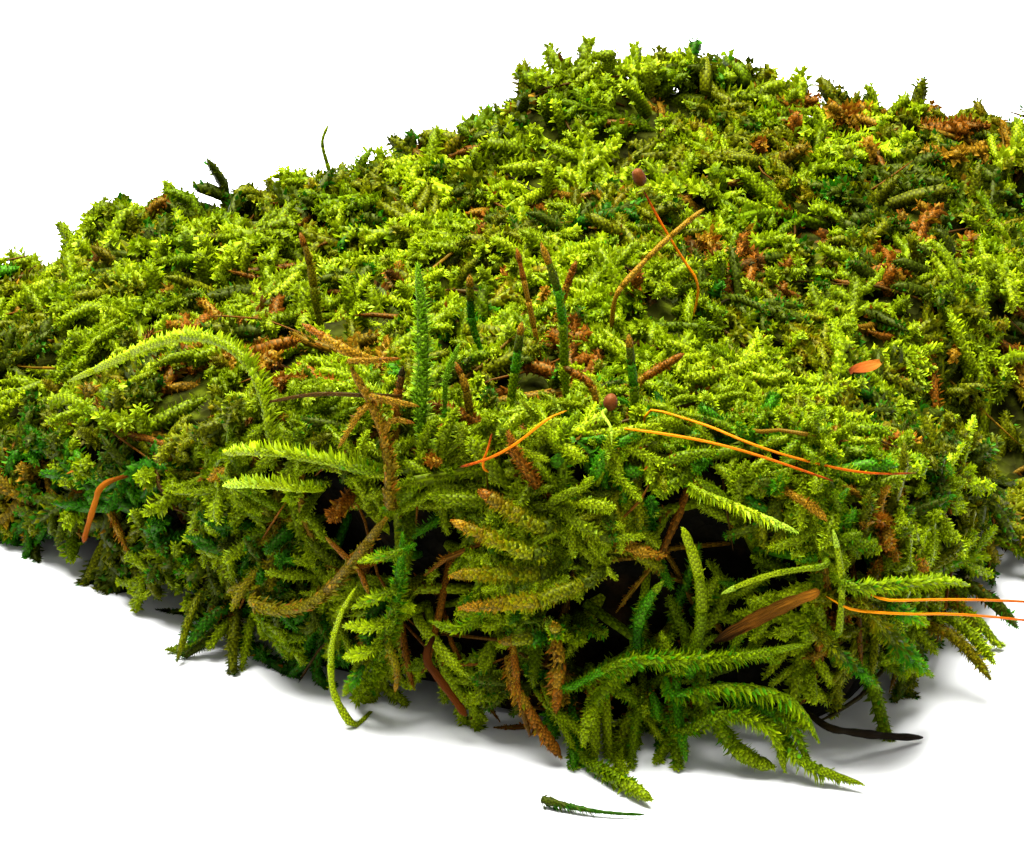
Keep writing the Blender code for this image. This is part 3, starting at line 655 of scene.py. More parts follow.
shootLooks = {
    # piece: slot, and for each node its leaf style, hue at foot and tip, and brightness row
    "livingShoots": ("living_moss", {
        "feather_stem": ("feathery", 11, 9, 4.5), "feather_branch_1": ("feathery", 9, 11, 4.5),
        "feather_branch_2": ("feathery", 10, 11, 5), "arched_shoot": ("braided", 11, 12, 5),
        "lying_shoot_1": ("braided", 10, 12, 5), "upright_shoot": ("feathery", 14.6, 14.6, 6.0),
        "upright_branch": ("feathery", 14.6, 14.6, 6.2), "curled_shoot": ("catkin", 10, 11.4, 4.5),
        "cup_shoot": ("hairy", 7.4, 10, 3.5), "fork_shoot": ("feathery", 9, 11, 5),
        "reaching_shoot": ("feathery", 10, 11, 5), "low_shoot": ("braided", 9.6, 11, 5.2),
        "tassel_1": ("feathery", 5, 10, 4.5), "tassel_2": ("feathery", 6, 11, 5),
        "tassel_3": ("feathery", 5, 10, 4.5), "front_frond": ("feathery", 9.0, 10.6, 5.4),
        "low_frond_1": ("braided", 9.2, 10.6, 5.4), "low_frond_2": ("feathery", 9.4, 11, 5.2),
        "low_frond_3": ("feathery", 8.4, 10.6, 5.0), "fallen_sprig": ("braided", 7.4, 8, 2.5),
    }),
    "paleShoots": ("pale_moss", {
        "feather_branch_3": ("feathery", 11, 12, 5.5), "feather_branch_4": ("feathery", 11, 12, 6),
        "feather_branch_5": ("feathery", 5, 12, 4.5), "loop_whip": ("whip", 12, 12, 5.5),
        "lying_shoot_2": ("braided", 11, 13, 5.5), "front_finger": ("catkin", 9.6, 11.6, 4.8),
        "bud_shoot": ("catkin", 13, 2.6, 7), "twisted_shoot": ("whip", 9.0, 12.2, 5),
        "pale_shoot": ("braided", 10, 13.4, 5), "cross_whip": ("whip", 9.4, 13, 5),
        "right_whip": ("whip", 9.6, 13, 5), "braided_shoot": ("catkin", 9.6, 11.6, 4.5),
        "finger_1": ("catkin", 6.6, 1.2, 4.5), "finger_2": ("catkin", 6.6, 2.2, 5.5),
        "finger_3": ("catkin", 6.6, 2.8, 5.5), "finger_4": ("catkin", 6.6, 1.8, 5.2),
        "pale_curl": ("whip", 13, 13, 7), "pink_finger": ("catkin", 10.5, 2.4, 5),
        "left_leafy_shoot": ("feathery", 9, 10.5, 4.5),
    }),
    "deadStems": ("dead_moss", {
        "dead_stem_lower": ("withered", 5, 4, 4), "dead_stem_upper": ("withered", 4.2, 2.8, 4.2),
        "dead_stem_tip": ("bare", 3.4, 1, 5.6), "dead_twig_1": ("withered", 3.4, 2.2, 5),
        "dead_twig_2": ("withered", 3.4, 3, 5), "dead_twig_3": ("withered", 3.2, 2.4, 4.6),
        "dead_twig_4": ("withered", 3.2, 3.2, 5), "hanging_brown_shoot": ("withered", 3.5, 2, 4),
        "foot_stem": ("withered", 3, 2, 3.5), "dark_tip_1": ("capped", 10.6, 0.8, 5.4),
        "dark_tip_2": ("capped", 10.6, 0.8, 5.4), "dark_tip_3": ("capped", 10.4, 0.6, 5),
        "dark_tip_6": ("capped", 9, 0.8, 4.6), "dark_tip_7": ("catkin", 3, 0.8, 4),
        "dark_tip_8": ("catkin", 3, 1.6, 4.6), "dark_bud": ("catkin", 2.6, 0, 3.6),
        "brown_spike": ("catkin", 2.7, 1.6, 5.2), "brown_stalk_1": ("bare", 3.4, 3, 6),
        "brown_stalk_2": ("bare", 3.2, 1.6, 6), "dark_tip_4": ("capped", 6, 0.8, 4.4),
        "dark_tip_5": ("capped", 5, 0.8, 4.4), "brown_root": ("withered", 3, 1, 3.5),
        "thin_twig": ("bare", 1, 0.6, 2.5), "brown_twig_1": ("bare", 2, 3, 4),
        "brown_twig_2": ("bare", 2, 3, 4),
        "feather_branch_6": ("withered", 9, 2.4, 4), "skyline_wisp": ("bare", 11, 12, 5.5),
        "brown_bud": ("catkin", 3.4, 2.4, 5.5),
    }),
}


def rooted(points, near=(0.9, 0.7), far=(1.5, 3.0)):
    # two more points carry the foot on backwards and down into the mat by so many mm, a little thinner
    spot, normal = matSurface.find_nearest(Vector(points[0, :3]))[:2]
    back = unit(points[0, :3] - points[2, :3])
    inward = np.array(normal) if normal.z > -0.2 else unit(points[0, :3] - matMiddle)
    first, second = (points[0, :3] + behind * back - below * inward for behind, below in (near, far))
    feet = np.column_stack([np.array((second, first)), points[0, 3] * np.array((0.6, 0.9))])
    return evenSteps(throughPoints(np.vstack([feet, points[::3], points[-1:]]), 6), heroPoints)


bodySpans = ((0, 8), (7, 14), (13, 19), (18, 23), (22, heroPoints))   # stretches of a shoot with one hue each


def dressShoots(name, slotName, looks, seed):
    # for each leaf style, its shoots' paths together as one cloud of leaves round their bodies
    parts = []
    for styleName, style in leafStyles.items():
        nodes = [node for node, look in looks.items() if look[0] == styleName]
        if not nodes:
            continue
        # every shoot is rooted in the mat but the sprig, which lies on the ground
        shaped = [settled[node] if node == "fallen_sprig" else rooted(settled[node]) for node in nodes]
        shaped = np.array(shaped)
        paths, radius = shaped[:, :, :3], shaped[:, :, 3] * style["stout"]
        hues = np.array([(looks[node][1], looks[node][2], 0.0) for node in nodes], float)
        shade = np.array([looks[node][3] for node in nodes], float) + 0.8
        parts.append(leafCloud(paths, radius, hues, shade, style, "medium", seed))
        for low, high in bodySpans:
            middle = ((low + high) / 2 / heroPoints) ** style["ripens"]
            local = hues[:, :1] + (hues[:, 1:2] - hues[:, :1]) * middle
            local = np.column_stack([local, local, 0 * local])
            taper = np.ones(high - low)
            if high == heroPoints:
                taper = np.sqrt(1.03 - np.linspace(0.0, 1.0, high - low) ** 2)
            body = radius[:, low:high] * style["core"] * taper
            parts.append(shootBodies(paths[:, low:high], body, local, shade, 8, seed, blunt=False))
        seed += 1
    makePiece(name, parts, mossLeaf, slotName, [node for node in looks if node in shootRoutes])


for seed, (name, (slotName, looks)) in enumerate(shootLooks.items()):
    dressShoots(name, slotName, looks, 40 + seed * 10)


# the turf itself

turfZones = {
    # mm of shoot on each square mm, brightness row, leaves per mm, leaf width, sides and thickness of the
    # stems, how many shoots hang over the lower edge, and how many rows brighter they are. The brightness
    # rows
    # hold painted light and shade by face: darker on the front-left and left faces, brighter on the middle
    # top and front right; the rows brighter are painted light on the hanging shoots of the shaded lower edge
    "turfFrontLeft": dict(dense=2.7, shade=3.4, perMm=21, wide=0.55, sides=6, thick=1.0, fringe=110),
    "turfFrontRight": dict(dense=2.25, shade=4.7, perMm=20, wide=0.55, sides=6, thick=1.0, fringe=180,
                           lift=1.2),
    "turfLeft": dict(dense=2.1, shade=3.8, perMm=10, wide=0.66, sides=5, thick=1.3, fringe=50),
    "turfMiddle": dict(dense=2.25, shade=4.8, perMm=11, wide=0.66, sides=5, thick=1.25),
    "turfRight": dict(dense=2.1, shade=4.3, perMm=10, wide=0.66, sides=5, thick=1.3, fringe=90, lift=0.6),
    "turfBackLeft": dict(dense=1.95, shade=4.4, perMm=7, wide=0.8, sides=4, thick=1.5),
    "turfBackRight": dict(dense=1.8, shade=4.4, perMm=7, wide=0.8, sides=4, thick=1.5),
}

turf = {
    "frondShare": 0.68, "uprightShare": 0.22, "deadShare": 0.10,      # of all the shoots' length together
    "stemMm": (10, 17), "branchMm": (2.4, 6.0), "branches": 7, "branchMean": 0.82,
    "uprightMm": (4.5, 7.5), "hangingMm": (3.2, 6.6), "radiusMm": (0.62, 0.98), "palestTip": 12.3,
    "stemDepth": (2.5, 5.0), "deadDepth": (3.0, 5.0), "bareDepth": (1.0, 3.0), "fringeBelow": 6.5,
}


def inZone(name):
    # 1 for spots of the plan that are in the zone, and 0 for the others
    def share(spots):
        x, y = spots[:, 0], spots[:, 1]
        front = (y < 17) & (np.abs(x - 4) < 46)
        back = ~front & (y > 56)
        middle = ~front & ~back & (np.abs(x - 5) < 24)
        aside = ~front & ~back & ~middle
        picked = {
            "turfFrontLeft": front & (x < 2), "turfFrontRight": front & (x >= 2),
            "turfBackLeft": back & (x < 5), "turfBackRight": back & (x >= 5),
            "turfMiddle": middle, "turfLeft": aside & (x < 5), "turfRight": aside & (x >= 5),
        }[name]
        return picked.astype(float)
    return share


def patches(spots, scale, phase):
    # slow waves over the plan, from 0 to 1, that make neighbouring shoots alike
    x, y, z = (spots[:, k] / scale for k in range(3))
    wave = np.sin(x + phase) * np.cos(y * 1.3 - phase) + 0.6 * np.sin(2.1 * x - 1.7 * y + z + phase * 2)
    return np.clip(0.5 + 0.33 * wave, 0, 1)


turfKinds = {
    # where each kind of shoot lies in the table of shades, and how its hue wavers
    "green": (10.4, 0.45), "emerald": (8.9, 0.5), "dark": (6.7, 0.5),
    "olive": (5.6, 0.5), "brown": (2.8, 0.8),
}


def turfHues(spots, rng):
    # foot hue, tip hue and buried share of each shoot: in its own places, each kind has a chance at a spot
    count = len(spots)
    x, y, z = spots.T

    def drawn(kind, shift=0.0):
        hue, waver = turfKinds[kind]
        return hue + shift + rng.normal(0, waver, count)

    hues = drawn("green", 0.9 * (patches(spots, 6.0, 2.0) - 0.5))
    chances = {
        "emerald": 0.75 * np.exp(-((x - 18) / 17) ** 2 - (y / 11) ** 2),
        # darker green low on the left face: the shoots' own tone, with painted shade where the face turns
        # away from the light above
        "dark": 0.7 * (x < -12) * (z < 15) * (y < 40),
        "olive": 0.14 + 0.5 * (patches(spots, 9.0, 1.0) > 0.55) * (y > 12) + 0.3 * (x > 32),
        "brown": 0.03 + 0.3 * (patches(spots, 6.0, 4.0) > 0.78) * (y > 8),
    }
    picked = {}
    for kind, chance in chances.items():
        picked[kind] = rng.random(count) < chance
        if kind == "olive":
            picked[kind] &= ~picked["emerald"]
        hues = np.where(picked[kind], drawn(kind), hues)
    riper = np.where(picked["brown"], -0.8, rng.uniform(0.4, 2.2, count))
    tip = np.minimum(hues + riper, turf["palestTip"])
    return np.column_stack([hues, tip, rng.uniform(0.1, 0.4, count)])


def lyingStems(spots, normals, rng, depth):
    # heading in the surface's plane, swayed by a sine across it, sinking to depth at the foot
    count = len(spots)
    loose = rng.normal(size=(count, 3)) + np.array((0, -0.5, -0.4)) * (normals[:, 2:3] < 0.5)
    heading = unit(loose - normals * (loose * normals).sum(1, keepdims=True))
    across = np.cross(normals, heading)
    length = rng.uniform(*turf["stemMm"], count)
    share = pathShare[None, :]
    waves, start = rng.uniform(2, 5, (count, 1)), rng.uniform(0, 6, (count, 1))
    sway = 0.16 * length[:, None] * np.sin(share * waves + start)
    points = spots[:, None] + heading[:, None] * (length[:, None] * (share - 0.4))[..., None]
    points = points + across[:, None] * sway[..., None]
    lift = rng.uniform(-0.8, 1.0, (count, 1))
    height = -depth[:, None] * (1 - share) ** 1.4 + lift * share ** 2 - 0.5
    points, ups = followMat(points, height)
    return smoothed(smoothed(points)), unit(ups)


def sideBranches(stems, ups, rng):
    # alternate branches: foot on the stem, then length * (share * slanted heading + share^2 * forward bend)
    count, perStem = len(stems), turf["branches"]
    owner = np.repeat(np.arange(count), perStem)
    order = np.tile(np.arange(perStem), count)
    place = 0.22 + 0.72 * (order + rng.uniform(0.2, 0.8, len(owner))) / perStem
    foot = readAlong(stems, owner, place)
    forward = unit(readAlong(unit(np.gradient(stems, axis=1)), owner, place))
    up = unit(readAlong(ups, owner, place))
    hand = np.where((order + owner) % 2 == 0, 1.0, -1.0)[:, None]
    aside = unit(np.cross(up, forward)) * hand
    angle = np.radians(rng.uniform(38, 68, len(owner)))[:, None]
    heading = np.cos(angle) * forward + np.sin(angle) * aside
    longest = rng.uniform(*turf["branchMm"], len(owner))
    length = longest * np.sqrt(np.clip(1.15 - place, 0.05, 1))
    share = pathShare[None, :, None]
    lift = np.clip(rng.normal(0.0, 0.3, len(owner)), -0.5, 0.25)[:, None, None]
    hook = rng.normal(0.25, 0.4, len(owner))[:, None, None] * forward[:, None] * share ** 2
    curve = np.clip(rng.normal(-0.05, 0.25, len(owner)), -0.6, 0.12)[:, None, None] * up[:, None] * share ** 3
    bent = heading[:, None] * share + hook + lift * up[:, None] * share ** 1.5 + curve
    return foot[:, None] + bent * length[:, None, None], owner


def standingShoots(spots, normals, rng, depth):
    # from a share of the length under the surface outwards along its normal, leaning over and curling
    count = len(spots)
    length = rng.uniform(*turf["uprightMm"], count)
    depth = depth * length
    lean = rng.normal(size=(count, 3))
    lean = unit(lean - normals * (lean * normals).sum(1, keepdims=True))
    out = unit(normals + lean * rng.uniform(0.1, 0.9, (count, 1)))
    share = pathShare[None, :, None]
    steep = (1 - np.abs(normals[:, 2]))[:, None, None]
    turned = rng.uniform(-0.35, 0.6, count) - 0.7 * np.clip((9 - spots[:, 2]) / 6, 0, 1)
    light = skyward[None, None] * turned[:, None, None] * steep
    curl = 0.55 * lean[:, None] * rng.normal(0.3, 0.8, (count, 1, 1))
    bent = out[:, None] * share + (curl + light) * share ** 2
    foot = spots - normals * depth[:, None]
    return foot[:, None] + bent * length[:, None, None]


def fringeShoots(spots, normals, rng):
    # from inside the foot of the mat outwards and down: length * (share * outward - drop * share^2 * up)
    count = len(spots)
    level = unit((normals + rng.normal(0, 0.3, (count, 3))) * np.array((1.0, 1.0, 0.0)))
    length = rng.uniform(*turf["hangingMm"], count)[:, None, None]
    share = pathShare[None, :, None]
    drop = rng.uniform(0.3, 1.1, count)[:, None, None]
    across = np.cross(level, skyward)[:, None] * rng.normal(0, 0.3, count)[:, None, None]
    bent = level[:, None] * share - drop * skyward * share ** 2 + across * share ** 2
    points = spots[:, None] - 1.6 * normals[:, None] + bent * length
    points[:, :, 2] = np.maximum(points[:, :, 2], 0.5 + 0.2 * np.sin(6 * share[:, :, 0]))
    return points


standingPoints = np.concatenate([settled[node][::2] for node in settled])
standingDepth = standingPoints[:, :3] @ towardsView
standing = KDTree(len(standingPoints))
for k, place in enumerate(standingPoints):
    standing.insert((place[0], place[:3] @ viewUp, 0.0), k)
standing.balance()


def clearOfShoots(paths, side=0.4, behind=0.6):
    # false for a path that would cross in front of a shoot that stands out, seen from the front and above
    depth = paths @ towardsView
    kept = np.ones(len(paths), bool)
    flat = np.stack([paths[:, :, 0], paths @ viewUp, np.zeros(paths.shape[:2])], axis=-1)
    for k, (place, far) in enumerate(zip(flat, depth)):
        for point, near in zip(place[::2], far[::2]):
            index, gap = standing.find(point)[1:]
            if gap < standingPoints[index, 3] + side and near > standingDepth[index] - behind:
                kept[k] = False
                break
    return kept


def growTurf(name, seed):
    # a zone's shoots in five kinds: fronds with their side branches, upright shoots, dead stems, shoots that
    # hang over the lower edge, and bare stalks; a kind's number = its share of the length / its mean length
    look = turfZones[name]
    zone = inZone(name)
    rng = np.random.default_rng(seed)
    style = dict(leafStyles["turf"], perMm=look["perMm"], wide=look["wide"])
    parts = []

    def shades(middle, spread, count):
        return middle + rng.normal(0, spread, count)

    def radii(count):
        return rng.uniform(*turf["radiusMm"], count)

    def add(paths, hues, shade, thick, styleNow, bareFoot):
        # leaves out paths that jump or hide a shoot that stands out; radius = thickness * a sine of the share
        steps = np.linalg.norm(np.diff(paths, axis=1), axis=2)
        seen = clearOfShoots(paths) & (steps.max(1) < 2.0 * steps.mean(1))
        paths, hues, shade, thick = paths[seen][:, keptPoints], hues[seen], shade[seen], thick[seen]
        swell = np.sin(np.linspace(0.9, 2.5, paths.shape[1])) ** 0.6
        radius = look["thick"] * thick[:, None] * swell[None, :]
        core = radius * styleNow["core"]
        parts.append(leafCloud(paths, radius, hues, shade, styleNow, "coarse", seed + len(parts), bareFoot))
        parts.append(shootBodies(paths, core, hues, shade, look["sides"], seed + len(parts)))

    length = look["dense"] * zoneArea(zone)
    stemMean, branchMean, uprightMean = (sum(turf[key]) / 2 for key in ("stemMm", "branchMm", "uprightMm"))
    perFrond = stemMean + turf["branches"] * branchMean * turf["branchMean"]
    fronds = int(length * turf["frondShare"] / perFrond)
    uprights = int(length * turf["uprightShare"] / uprightMean)
    dead = int(length * turf["deadShare"] / stemMean)

    spots, normals = rootsOnMat(fronds, zone, seed + 1)
    stems, ups = lyingStems(spots, normals, rng, rng.uniform(*turf["stemDepth"], len(spots)))
    stemHues = turfHues(spots, rng)
    stemShade = shades(look["shade"], 0.8, len(spots))
    add(stems, stemHues, stemShade, radii(len(spots)), style, 0.2)
    branches, owner = sideBranches(stems, ups, rng)
    branches = keptLow(branches, 0.9)
    paler = np.column_stack([rng.normal(0.2, 0.4, (len(owner), 2)), np.full(len(owner), -0.2)])
    branchHues = stemHues[owner] + paler
    branchHues[:, 1] = np.minimum(branchHues[:, 1], turf["palestTip"])
    add(branches, branchHues, stemShade[owner] + 0.8, radii(len(owner)) * 0.85, style, 0.08)

    spots, normals = rootsOnMat(uprights, zone, seed + 2)
    shoots = keptLow(standingShoots(spots, normals, rng, rng.uniform(0.75, 1.0, len(spots))), 1.0)
    hues = turfHues(spots, rng)
    shade = look["shade"] + rng.normal(0.2, 0.9, len(spots))
    add(shoots, hues, shade, radii(len(spots)), style, 0.35)

    spots, normals = rootsOnMat(dead, zone, seed + 3)
    old, ups = lyingStems(spots, normals, rng, rng.uniform(*turf["deadDepth"], len(spots)))
    oldHues = [rng.uniform(0.5, 4, len(old)), rng.uniform(0.5, 4, len(old)), np.zeros(len(old))]
    withered = dict(leafStyles["withered"], perMm=look["perMm"] * 0.6)
    shade = shades(2.8, 0.8, len(old))
    add(old - ups * 0.8, np.column_stack(oldHues), shade, rng.uniform(0.4, 0.7, len(old)), withered, 0.1)

    if "fringe" in look:
        def lowEdge(spots):
            return zone(spots) * (spots[:, 2] < turf["fringeBelow"])

        spots, normals = rootsOnMat(look["fringe"], lowEdge, seed + 5)
        hanging = fringeShoots(spots, normals, rng)
        hues = turfHues(spots, rng)
        # painted light: the hanging shoots at the shaded lower edge are lifted by the zone's rows brighter
        shade = shades(look["shade"] + look.get("lift", 0.0), 0.8, len(spots))
        add(hanging, hues, shade, radii(len(spots)) * 0.9, style, 0.05)

    spots, normals = rootsOnMat(max(dead // 2, 4), zone, seed + 4)
    bare, ups = lyingStems(spots, normals, rng, rng.uniform(*turf["bareDepth"], len(spots)))
    bareHues = np.column_stack([rng.uniform(0, 3.4, (len(bare), 2)), np.zeros(len(bare))])
    slight = rng.uniform(0.14, 0.28, len(bare)) / look["thick"]
    shade = shades(3.0, 1.0, len(bare))
    add(bare - ups * 0.3, bareHues, shade, slight, dict(leafStyles["bare"], perMm=1.5), 0.0)
    makePiece(name, parts, mossLeaf, "living_moss")


for number, name in enumerate(turfZones):
    growTurf(name, 100 + 20 * number)


# the dark floor of the mat, its near-black also painted shade for the deep gaps between shoots

understory = {
    "insetMm": 3.0, "sideInsetMm": 4.6, "waveMm": 0.7,
    # the near-black crumbs are humus together with painted shade of the gaps between the shoots
    "crumbsAndGapShade": ((0.35, (3, 3, 1)), (0.55, (10, 8, 2)), (0.72, (30, 18, 4))),
    "moss": ((0.3, (18, 16, 2)), (0.5, (44, 48, 3)), (0.7, (70, 80, 4))),
    "crumbScale": 420.0, "pitScale": 900.0, "pitDepth": 0.0008, "mossFrom": 0.35, "mossFull": 0.9,
    "roughness": 0.95, "gloss": 0.05,
}


def understoryShell():
    # the mat's own surface, each corner moved inwards along its normal by the inset and two crossing waves;
    # the flat cut underneath only draws in sideways
    corners, index = np.unique(np.round(turfCorners, 3), axis=0, return_inverse=True)
    faces = index.reshape(-1)[matTriangles]
    faces = faces[(faces[:, 0] != faces[:, 1]) & (faces[:, 1] != faces[:, 2]) & (faces[:, 0] != faces[:, 2])]
    normal = np.zeros_like(corners)
    flat = np.cross(corners[faces[:, 1]] - corners[faces[:, 0]], corners[faces[:, 2]] - corners[faces[:, 0]])
    for k in range(3):
        np.add.at(normal, faces[:, k], flat)
    normal = unit(normal)
    wave = np.sin(corners[:, 0] * 0.9) * np.cos(corners[:, 1] * 0.8 + corners[:, 2])
    steep = 1 - np.clip(normal[:, 2], 0, 1)
    deep = understory["insetMm"] + (understory["sideInsetMm"] - understory["insetMm"]) * steep
    inset = deep + understory["waveMm"] * wave
    level = corners[:, 2] < 0.01
    normal[level, 2] = 0.0
    moved = corners - normal * inset[:, None]
    moved[:, 2] = np.where(level, 0.1, np.maximum(moved[:, 2], 0.3))
    uv = np.stack([moved[:, 0] / 200 + 0.5, moved[:, 1] / 200 + 0.3], axis=-1)
    return moved, faces, uv


def humusAndGapShadeMaterial():
    # dark crumbs on the steep sides, painted near-black also as the shade deep in the gaps between shoots,
    # olive moss where the surface faces up, both broken by noise
    look = understory
    material, nodes, fill, add, calc, ramp = newMaterial("humusAndGapShade")
    place = add("TexCoord", {}).outputs["Object"]
    coarse = add("TexNoise", {"Scale": look["crumbScale"], "Detail": 6.0, "Vector": place}).outputs[0]
    fine = add("TexVoronoi", {"Scale": look["pitScale"], "Vector": place}).outputs[0]
    dark, moss = ramp(coarse, look["crumbsAndGapShade"]), ramp(coarse, look["moss"])
    upwards = add("SeparateXYZ", {0: add("NewGeometry", {}).outputs["Normal"]}).outputs[2]
    facing = add("MapRange", {0: upwards, 1: look["mossFrom"], 2: look["mossFull"]},
                 interpolation_type="SMOOTHSTEP").outputs[0]
    both = add("Mix", {0: facing, 6: dark, 7: moss}, data_type="RGBA").outputs[2]
    bump = add("Bump", {"Distance": look["pitDepth"], "Height": fine}).outputs[0]
    fill(nodes["Principled BSDF"], {
        "Base Color": both, "Normal": bump, "Roughness": look["roughness"],
        "Specular IOR Level": look["gloss"]})
    return material


shell = makePiece("understory", [understoryShell()], humusAndGapShadeMaterial(), "dead_moss", ["moss_mat"])
shell.data.uv_layers.remove(shell.data.uv_layers[0])
rounding = shell.modifiers.new("rounding", "SUBSURF")
rounding.levels = 1
rounding.render_levels = 1


# stalks and litter

def alongMaterial(name, look):
    # colour runs from foot to tip along the piece's own UV, broken by noise drawn out lengthwise
    material, nodes, fill, add, calc, ramp = newMaterial(name)
    where = add("UVMap", {}, uv_map="OFBake").outputs[0]
    stretch = add("Mapping", {"Scale": look["grain"], 0: where}).outputs[0]
    noise = add("TexNoise", {"Scale": 1.0, "Detail": 5.0, "Vector": stretch}).outputs[0]
    shift = calc("MULTIPLY", calc("SUBTRACT", noise, 0.5), look.get("streaks", 0.45))
    place = calc("ADD", add("SeparateXYZ", {0: where}).outputs[1], shift)
    bump = add("Bump", {"Distance": look.get("grainDepth", 0.0001), "Height": noise}).outputs[0]
    fill(nodes["Principled BSDF"], {
        "Base Color": ramp(place, look["stops"]), "Normal": bump, "Roughness": look["roughness"],
        "Specular IOR Level": look["gloss"], "Specular Tint": (1.0, 0.55, 0.15, 1.0)})
    return material


stalkLooks = {
    # slot, nodes, colour stops from foot to tip, grain across and along, ripple of the outline, thickness
    "fruitStalks": dict(
        slot="fruit_stalk",
        nodes=["seta_1", "seta_2", "seta_3", "seta_fork", "seta_4", "seta_5", "capsule_seta"],
        stops=((0.0, (184, 116, 5)), (0.5, (178, 98, 4)), (0.85, (150, 62, 3)), (1.0, (50, 14, 3))),
        roughness=0.5, gloss=0.1, grain=(4, 30, 1), ripple=0.05, thick=0.8),
    "barkTwig": dict(
        slot="bark", nodes=["bark_twig"],
        stops=((0.0, (14, 8, 2)), (0.2, (44, 25, 6)), (0.4, (116, 70, 15)), (0.5, (40, 22, 5)),
               (0.62, (122, 78, 18)), (0.74, (58, 34, 8)), (0.86, (140, 90, 22)), (1.0, (152, 94, 18))),
        roughness=0.85, gloss=0.06, grain=(34, 2.4, 1), streaks=1.5, grainDepth=0.0006),
    "orangeNeedle": dict(
        slot="needle", nodes=["orange_needle"],
        stops=((0.0, (62, 26, 3)), (0.5, (132, 74, 8)), (1.0, (98, 44, 5))),
        roughness=0.7, gloss=0.05, grain=(14, 6, 1), ripple=0.08, thick=0.7),
    "sunkNeedle": dict(
        slot="bark", nodes=["sunk_needle"], stops=((0.0, (24, 9, 3)), (1.0, (72, 32, 4))),
        roughness=0.7, gloss=0.05, grain=(14, 6, 1), ripple=0.08, thick=1.0),
    "blackStick": dict(
        slot="dark_wood", nodes=["black_stick"], stops=((0.0, (7, 9, 2)), (0.5, (3, 3, 2)), (1.0, (6, 5, 3))),
        roughness=0.6, gloss=0.08, grain=(12, 8, 1), ripple=0.12, thick=0.8),
}


def stalk(node, look, seed):
    # a tube along the settled path; its radius swells and shrinks with two sines along the length
    points = rooted(settled[node])
    share = np.linspace(0, 1, heroPoints)
    uneven = 1 + look["ripple"] * (np.sin(share * 19 + seed) + 0.6 * np.sin(share * 43 + 2 * seed))
    ends = np.clip(np.minimum(share, 1 - share) * 14 + 0.35, 0, 1)
    radius = points[:, 3] * look["thick"] * uneven * ends
    return tubes(points[None, :, :3], radius[None], 10, seed)


def barkStrip(node, look, seed, steps=44, sides=26):
    # a tube whose radius = (1 + ridges in the turn, drifting along, + knots), flattened by a third
    path = evenSteps(settled[node], steps)
    share = np.linspace(0, 1, steps)[:, None]
    turn = np.arange(sides)[None, :] * 2 * math.pi / sides
    ridges = 0.10 * np.cos(5 * turn + 2 * share) + 0.07 * np.cos(9 * turn - 5 * share)
    ridges = ridges + 0.05 * np.cos(13 * turn)
    knots = 0.06 * np.sin(share * 21) + 0.05 * np.sin(share * 47 + turn)
    ends = np.clip(np.minimum(share * 5 + 0.3, (1 - share) * 16 + 0.45), 0, 1)
    radius = path[:, 3:4] * ends * (1 + ridges + knots)
    return tubes(path[None, :, :3], radius[None], sides, seed, flatness=0.66)


for seed, (name, look) in enumerate(stalkLooks.items()):
    shape = barkStrip if name == "barkTwig" else stalk
    stalks = [shape(node, look, seed + k) for k, node in enumerate(look["nodes"])]
    solids = [node for node in look["nodes"] if node in shootRoutes]
    makePiece(name, stalks, alongMaterial(name, look), look["slot"], solids)


def latheAlong(middle, axis, length, width, count, seed):
    # an egg: radius = sin(turn) * width over the length, with a little unevenness
    rng = np.random.default_rng(seed)
    turns = np.linspace(0.08, math.pi - 0.08, count)
    axis = unit(np.array(axis, float))
    path = np.array(middle, float) - axis * (0.5 * length * np.cos(turns))[:, None]
    radius = 0.5 * width * np.sin(turns) * (1 + 0.06 * rng.normal(size=count))
    return tubes(path[None], radius[None], 12, seed)


capsuleLook = {
    # each ball's middle and axis, length and width in millimetres, and the skin
    "balls": (((11.2, 32.3, 37.4), (-0.4, 0.1, 1.0), 1.7, 1.2),
              ((7.9, 1.6, 29.6), (0.2, 0.5, 0.8), 1.5, 1.1)),
    "stops": ((0.0, (44, 18, 4)), (0.5, (74, 34, 8)), (1.0, (96, 52, 16))),
    "roughness": 0.5, "gloss": 0.2, "grain": (6, 4, 1),
}
balls = [latheAlong(*ball, 12, 5 + k) for k, ball in enumerate(capsuleLook["balls"])]
makePiece("capsuleHead", balls, alongMaterial("capsuleSkin", capsuleLook), "fruit_stalk", ["capsule"])


def leafScrap(middle, axis, length, width):
    # a curled blade: across * width * sin(along) sideways, rising by the square of both
    along, across = np.meshgrid(np.linspace(0, 1, 13), np.linspace(-1, 1, 7), indexing="ij")
    axis = unit(np.array(axis, float))
    side = unit(np.cross(axis, skyward))
    half = 0.5 * width * np.sin(math.pi * (0.08 + 0.86 * along)) ** 0.7
    lift = 0.35 * across ** 2 + 0.5 * (along - 0.4) ** 2
    points = np.array(middle) + axis * ((along - 0.5) * length)[..., None] + side * (across * half)[..., None]
    points = points + skyward * lift[..., None]
    rows, columns = along.shape
    corner = (np.arange(rows - 1)[:, None] * columns + np.arange(columns - 1)[None, :]).reshape(-1)
    after = corner + columns
    triangles = np.stack([corner, after, after + 1, corner, after + 1, corner + 1], -1).reshape(-1, 3)
    uv = np.stack([(across + 1) / 2, along], -1)
    return points.reshape(-1, 3), triangles, uv.reshape(-1, 2)


scrapLook = {
    "middle": (31.4, 26.9, 21.2), "axis": (1.0, 0.5, 0.1), "length": 3.2, "width": 2.0,
    "stops": ((0.0, (64, 20, 3)), (0.5, (118, 54, 8)), (1.0, (132, 76, 18))),
    "roughness": 0.7, "gloss": 0.12, "grain": (9, 5, 1),
}
scrap = leafScrap(*(scrapLook[key] for key in ("middle", "axis", "length", "width")))
makePiece("redLeaf", [scrap], alongMaterial("dryLeaf", scrapLook), "leaf_scrap", ["red_leaf"])
print("moss clump: litter placed")


# floor, lights and camera

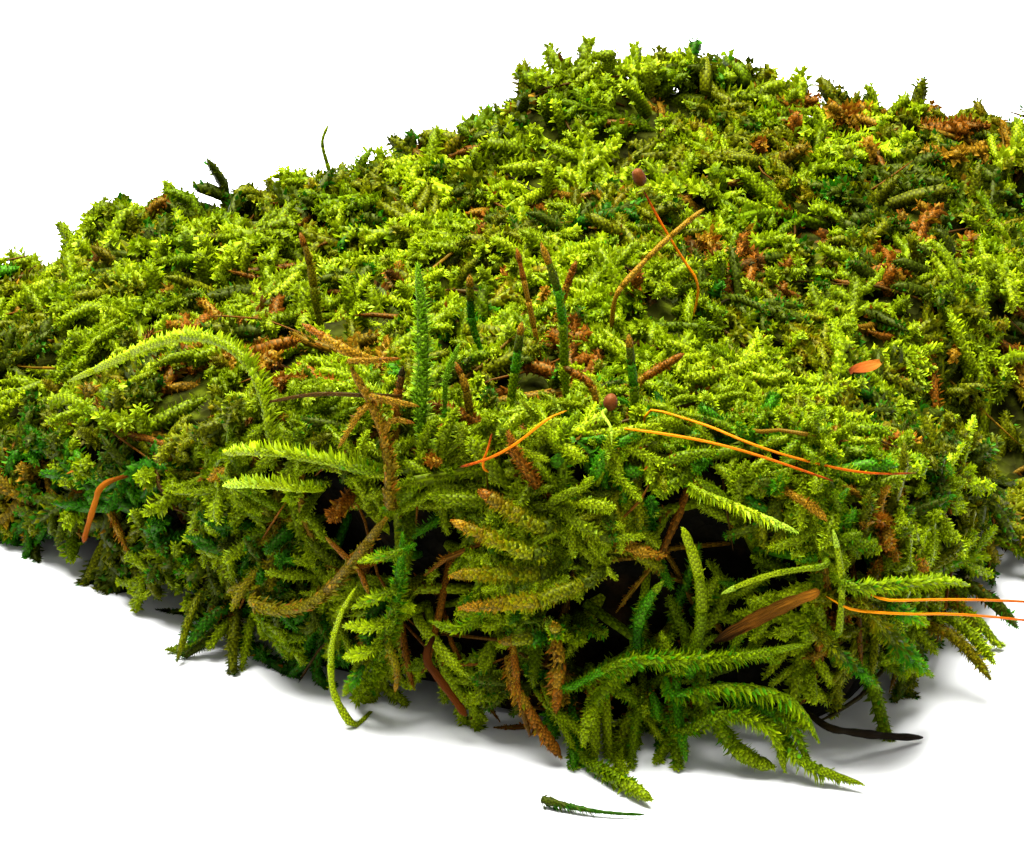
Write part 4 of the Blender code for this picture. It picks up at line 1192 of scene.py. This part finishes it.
studio = {
    # lights by name: place in metres, size and watts
    "lights": {"key": ((-0.10, 0.10, 0.62), 0.55, 31.0), "fill": ((0.25, -0.55, 0.35), 0.5, 0.5)},
    "aim": (0.0, -0.01, 0.015), "worldLight": 0.4, "floorColour": (0.72, 0.72, 0.71, 1.0), "floorHalf": 2.0,
}


def areaLight(name, place, size, watts):
    light = bpy.data.lights.new(name, "AREA")
    light.shape = "DISK"
    light.size = size
    light.energy = watts
    lamp = bpy.data.objects.new(name, light)
    lamp.location = place
    lamp.rotation_euler = (Vector(studio["aim"]) - Vector(place)).to_track_quat("-Z", "Y").to_euler()
    bpy.context.scene.collection.objects.link(lamp)


def stageFloor():
    # one square on the ground
    half = studio["floorHalf"]
    mesh = bpy.data.meshes.new("floor")
    corners = [(-half, -half, 0), (half, -half, 0), (half, half, 0), (-half, half, 0)]
    mesh.from_pydata(corners, [], [(0, 1, 2, 3)])
    material, nodes, fill = newMaterial("paleFloor")[:3]
    fill(nodes["Principled BSDF"], {"Base Color": studio["floorColour"], "Roughness": 0.9})
    mesh.materials.append(material)
    floor = bpy.data.objects.new("floor", mesh)
    bpy.context.scene.collection.objects.link(floor)


def placeCamera():
    # on a line from the target, raised by the elevation, at the distance
    target = (np.array(viewing["target"]) + planShift) * mm
    data = bpy.data.cameras.new("camera")
    data.sensor_width = viewing["sensorMm"]
    data.lens = viewing["lensMm"]
    data.clip_start = 0.01
    data.clip_end = 20.0
    data.dof.use_dof = False
    camera = bpy.data.objects.new("camera", data)
    camera.location = target + towardsView * viewing["distanceMm"] * mm
    camera.rotation_euler = Vector(-towardsView).to_track_quat("-Z", "Y").to_euler()
    bpy.context.scene.collection.objects.link(camera)
    bpy.context.scene.camera = camera


stageFloor()
for name, (place, size, watts) in studio["lights"].items():
    areaLight(name, place, size, watts)
world = bpy.data.worlds.new("studioAir")
world.use_nodes = True
background = world.node_tree.nodes["Background"]
background.inputs[0].default_value = (1.0, 1.0, 1.0, 1.0)
background.inputs[1].default_value = studio["worldLight"]
bpy.context.scene.world = world
bpy.context.scene.view_settings.view_transform = "Standard"
placeCamera()

print("moss clump: done")
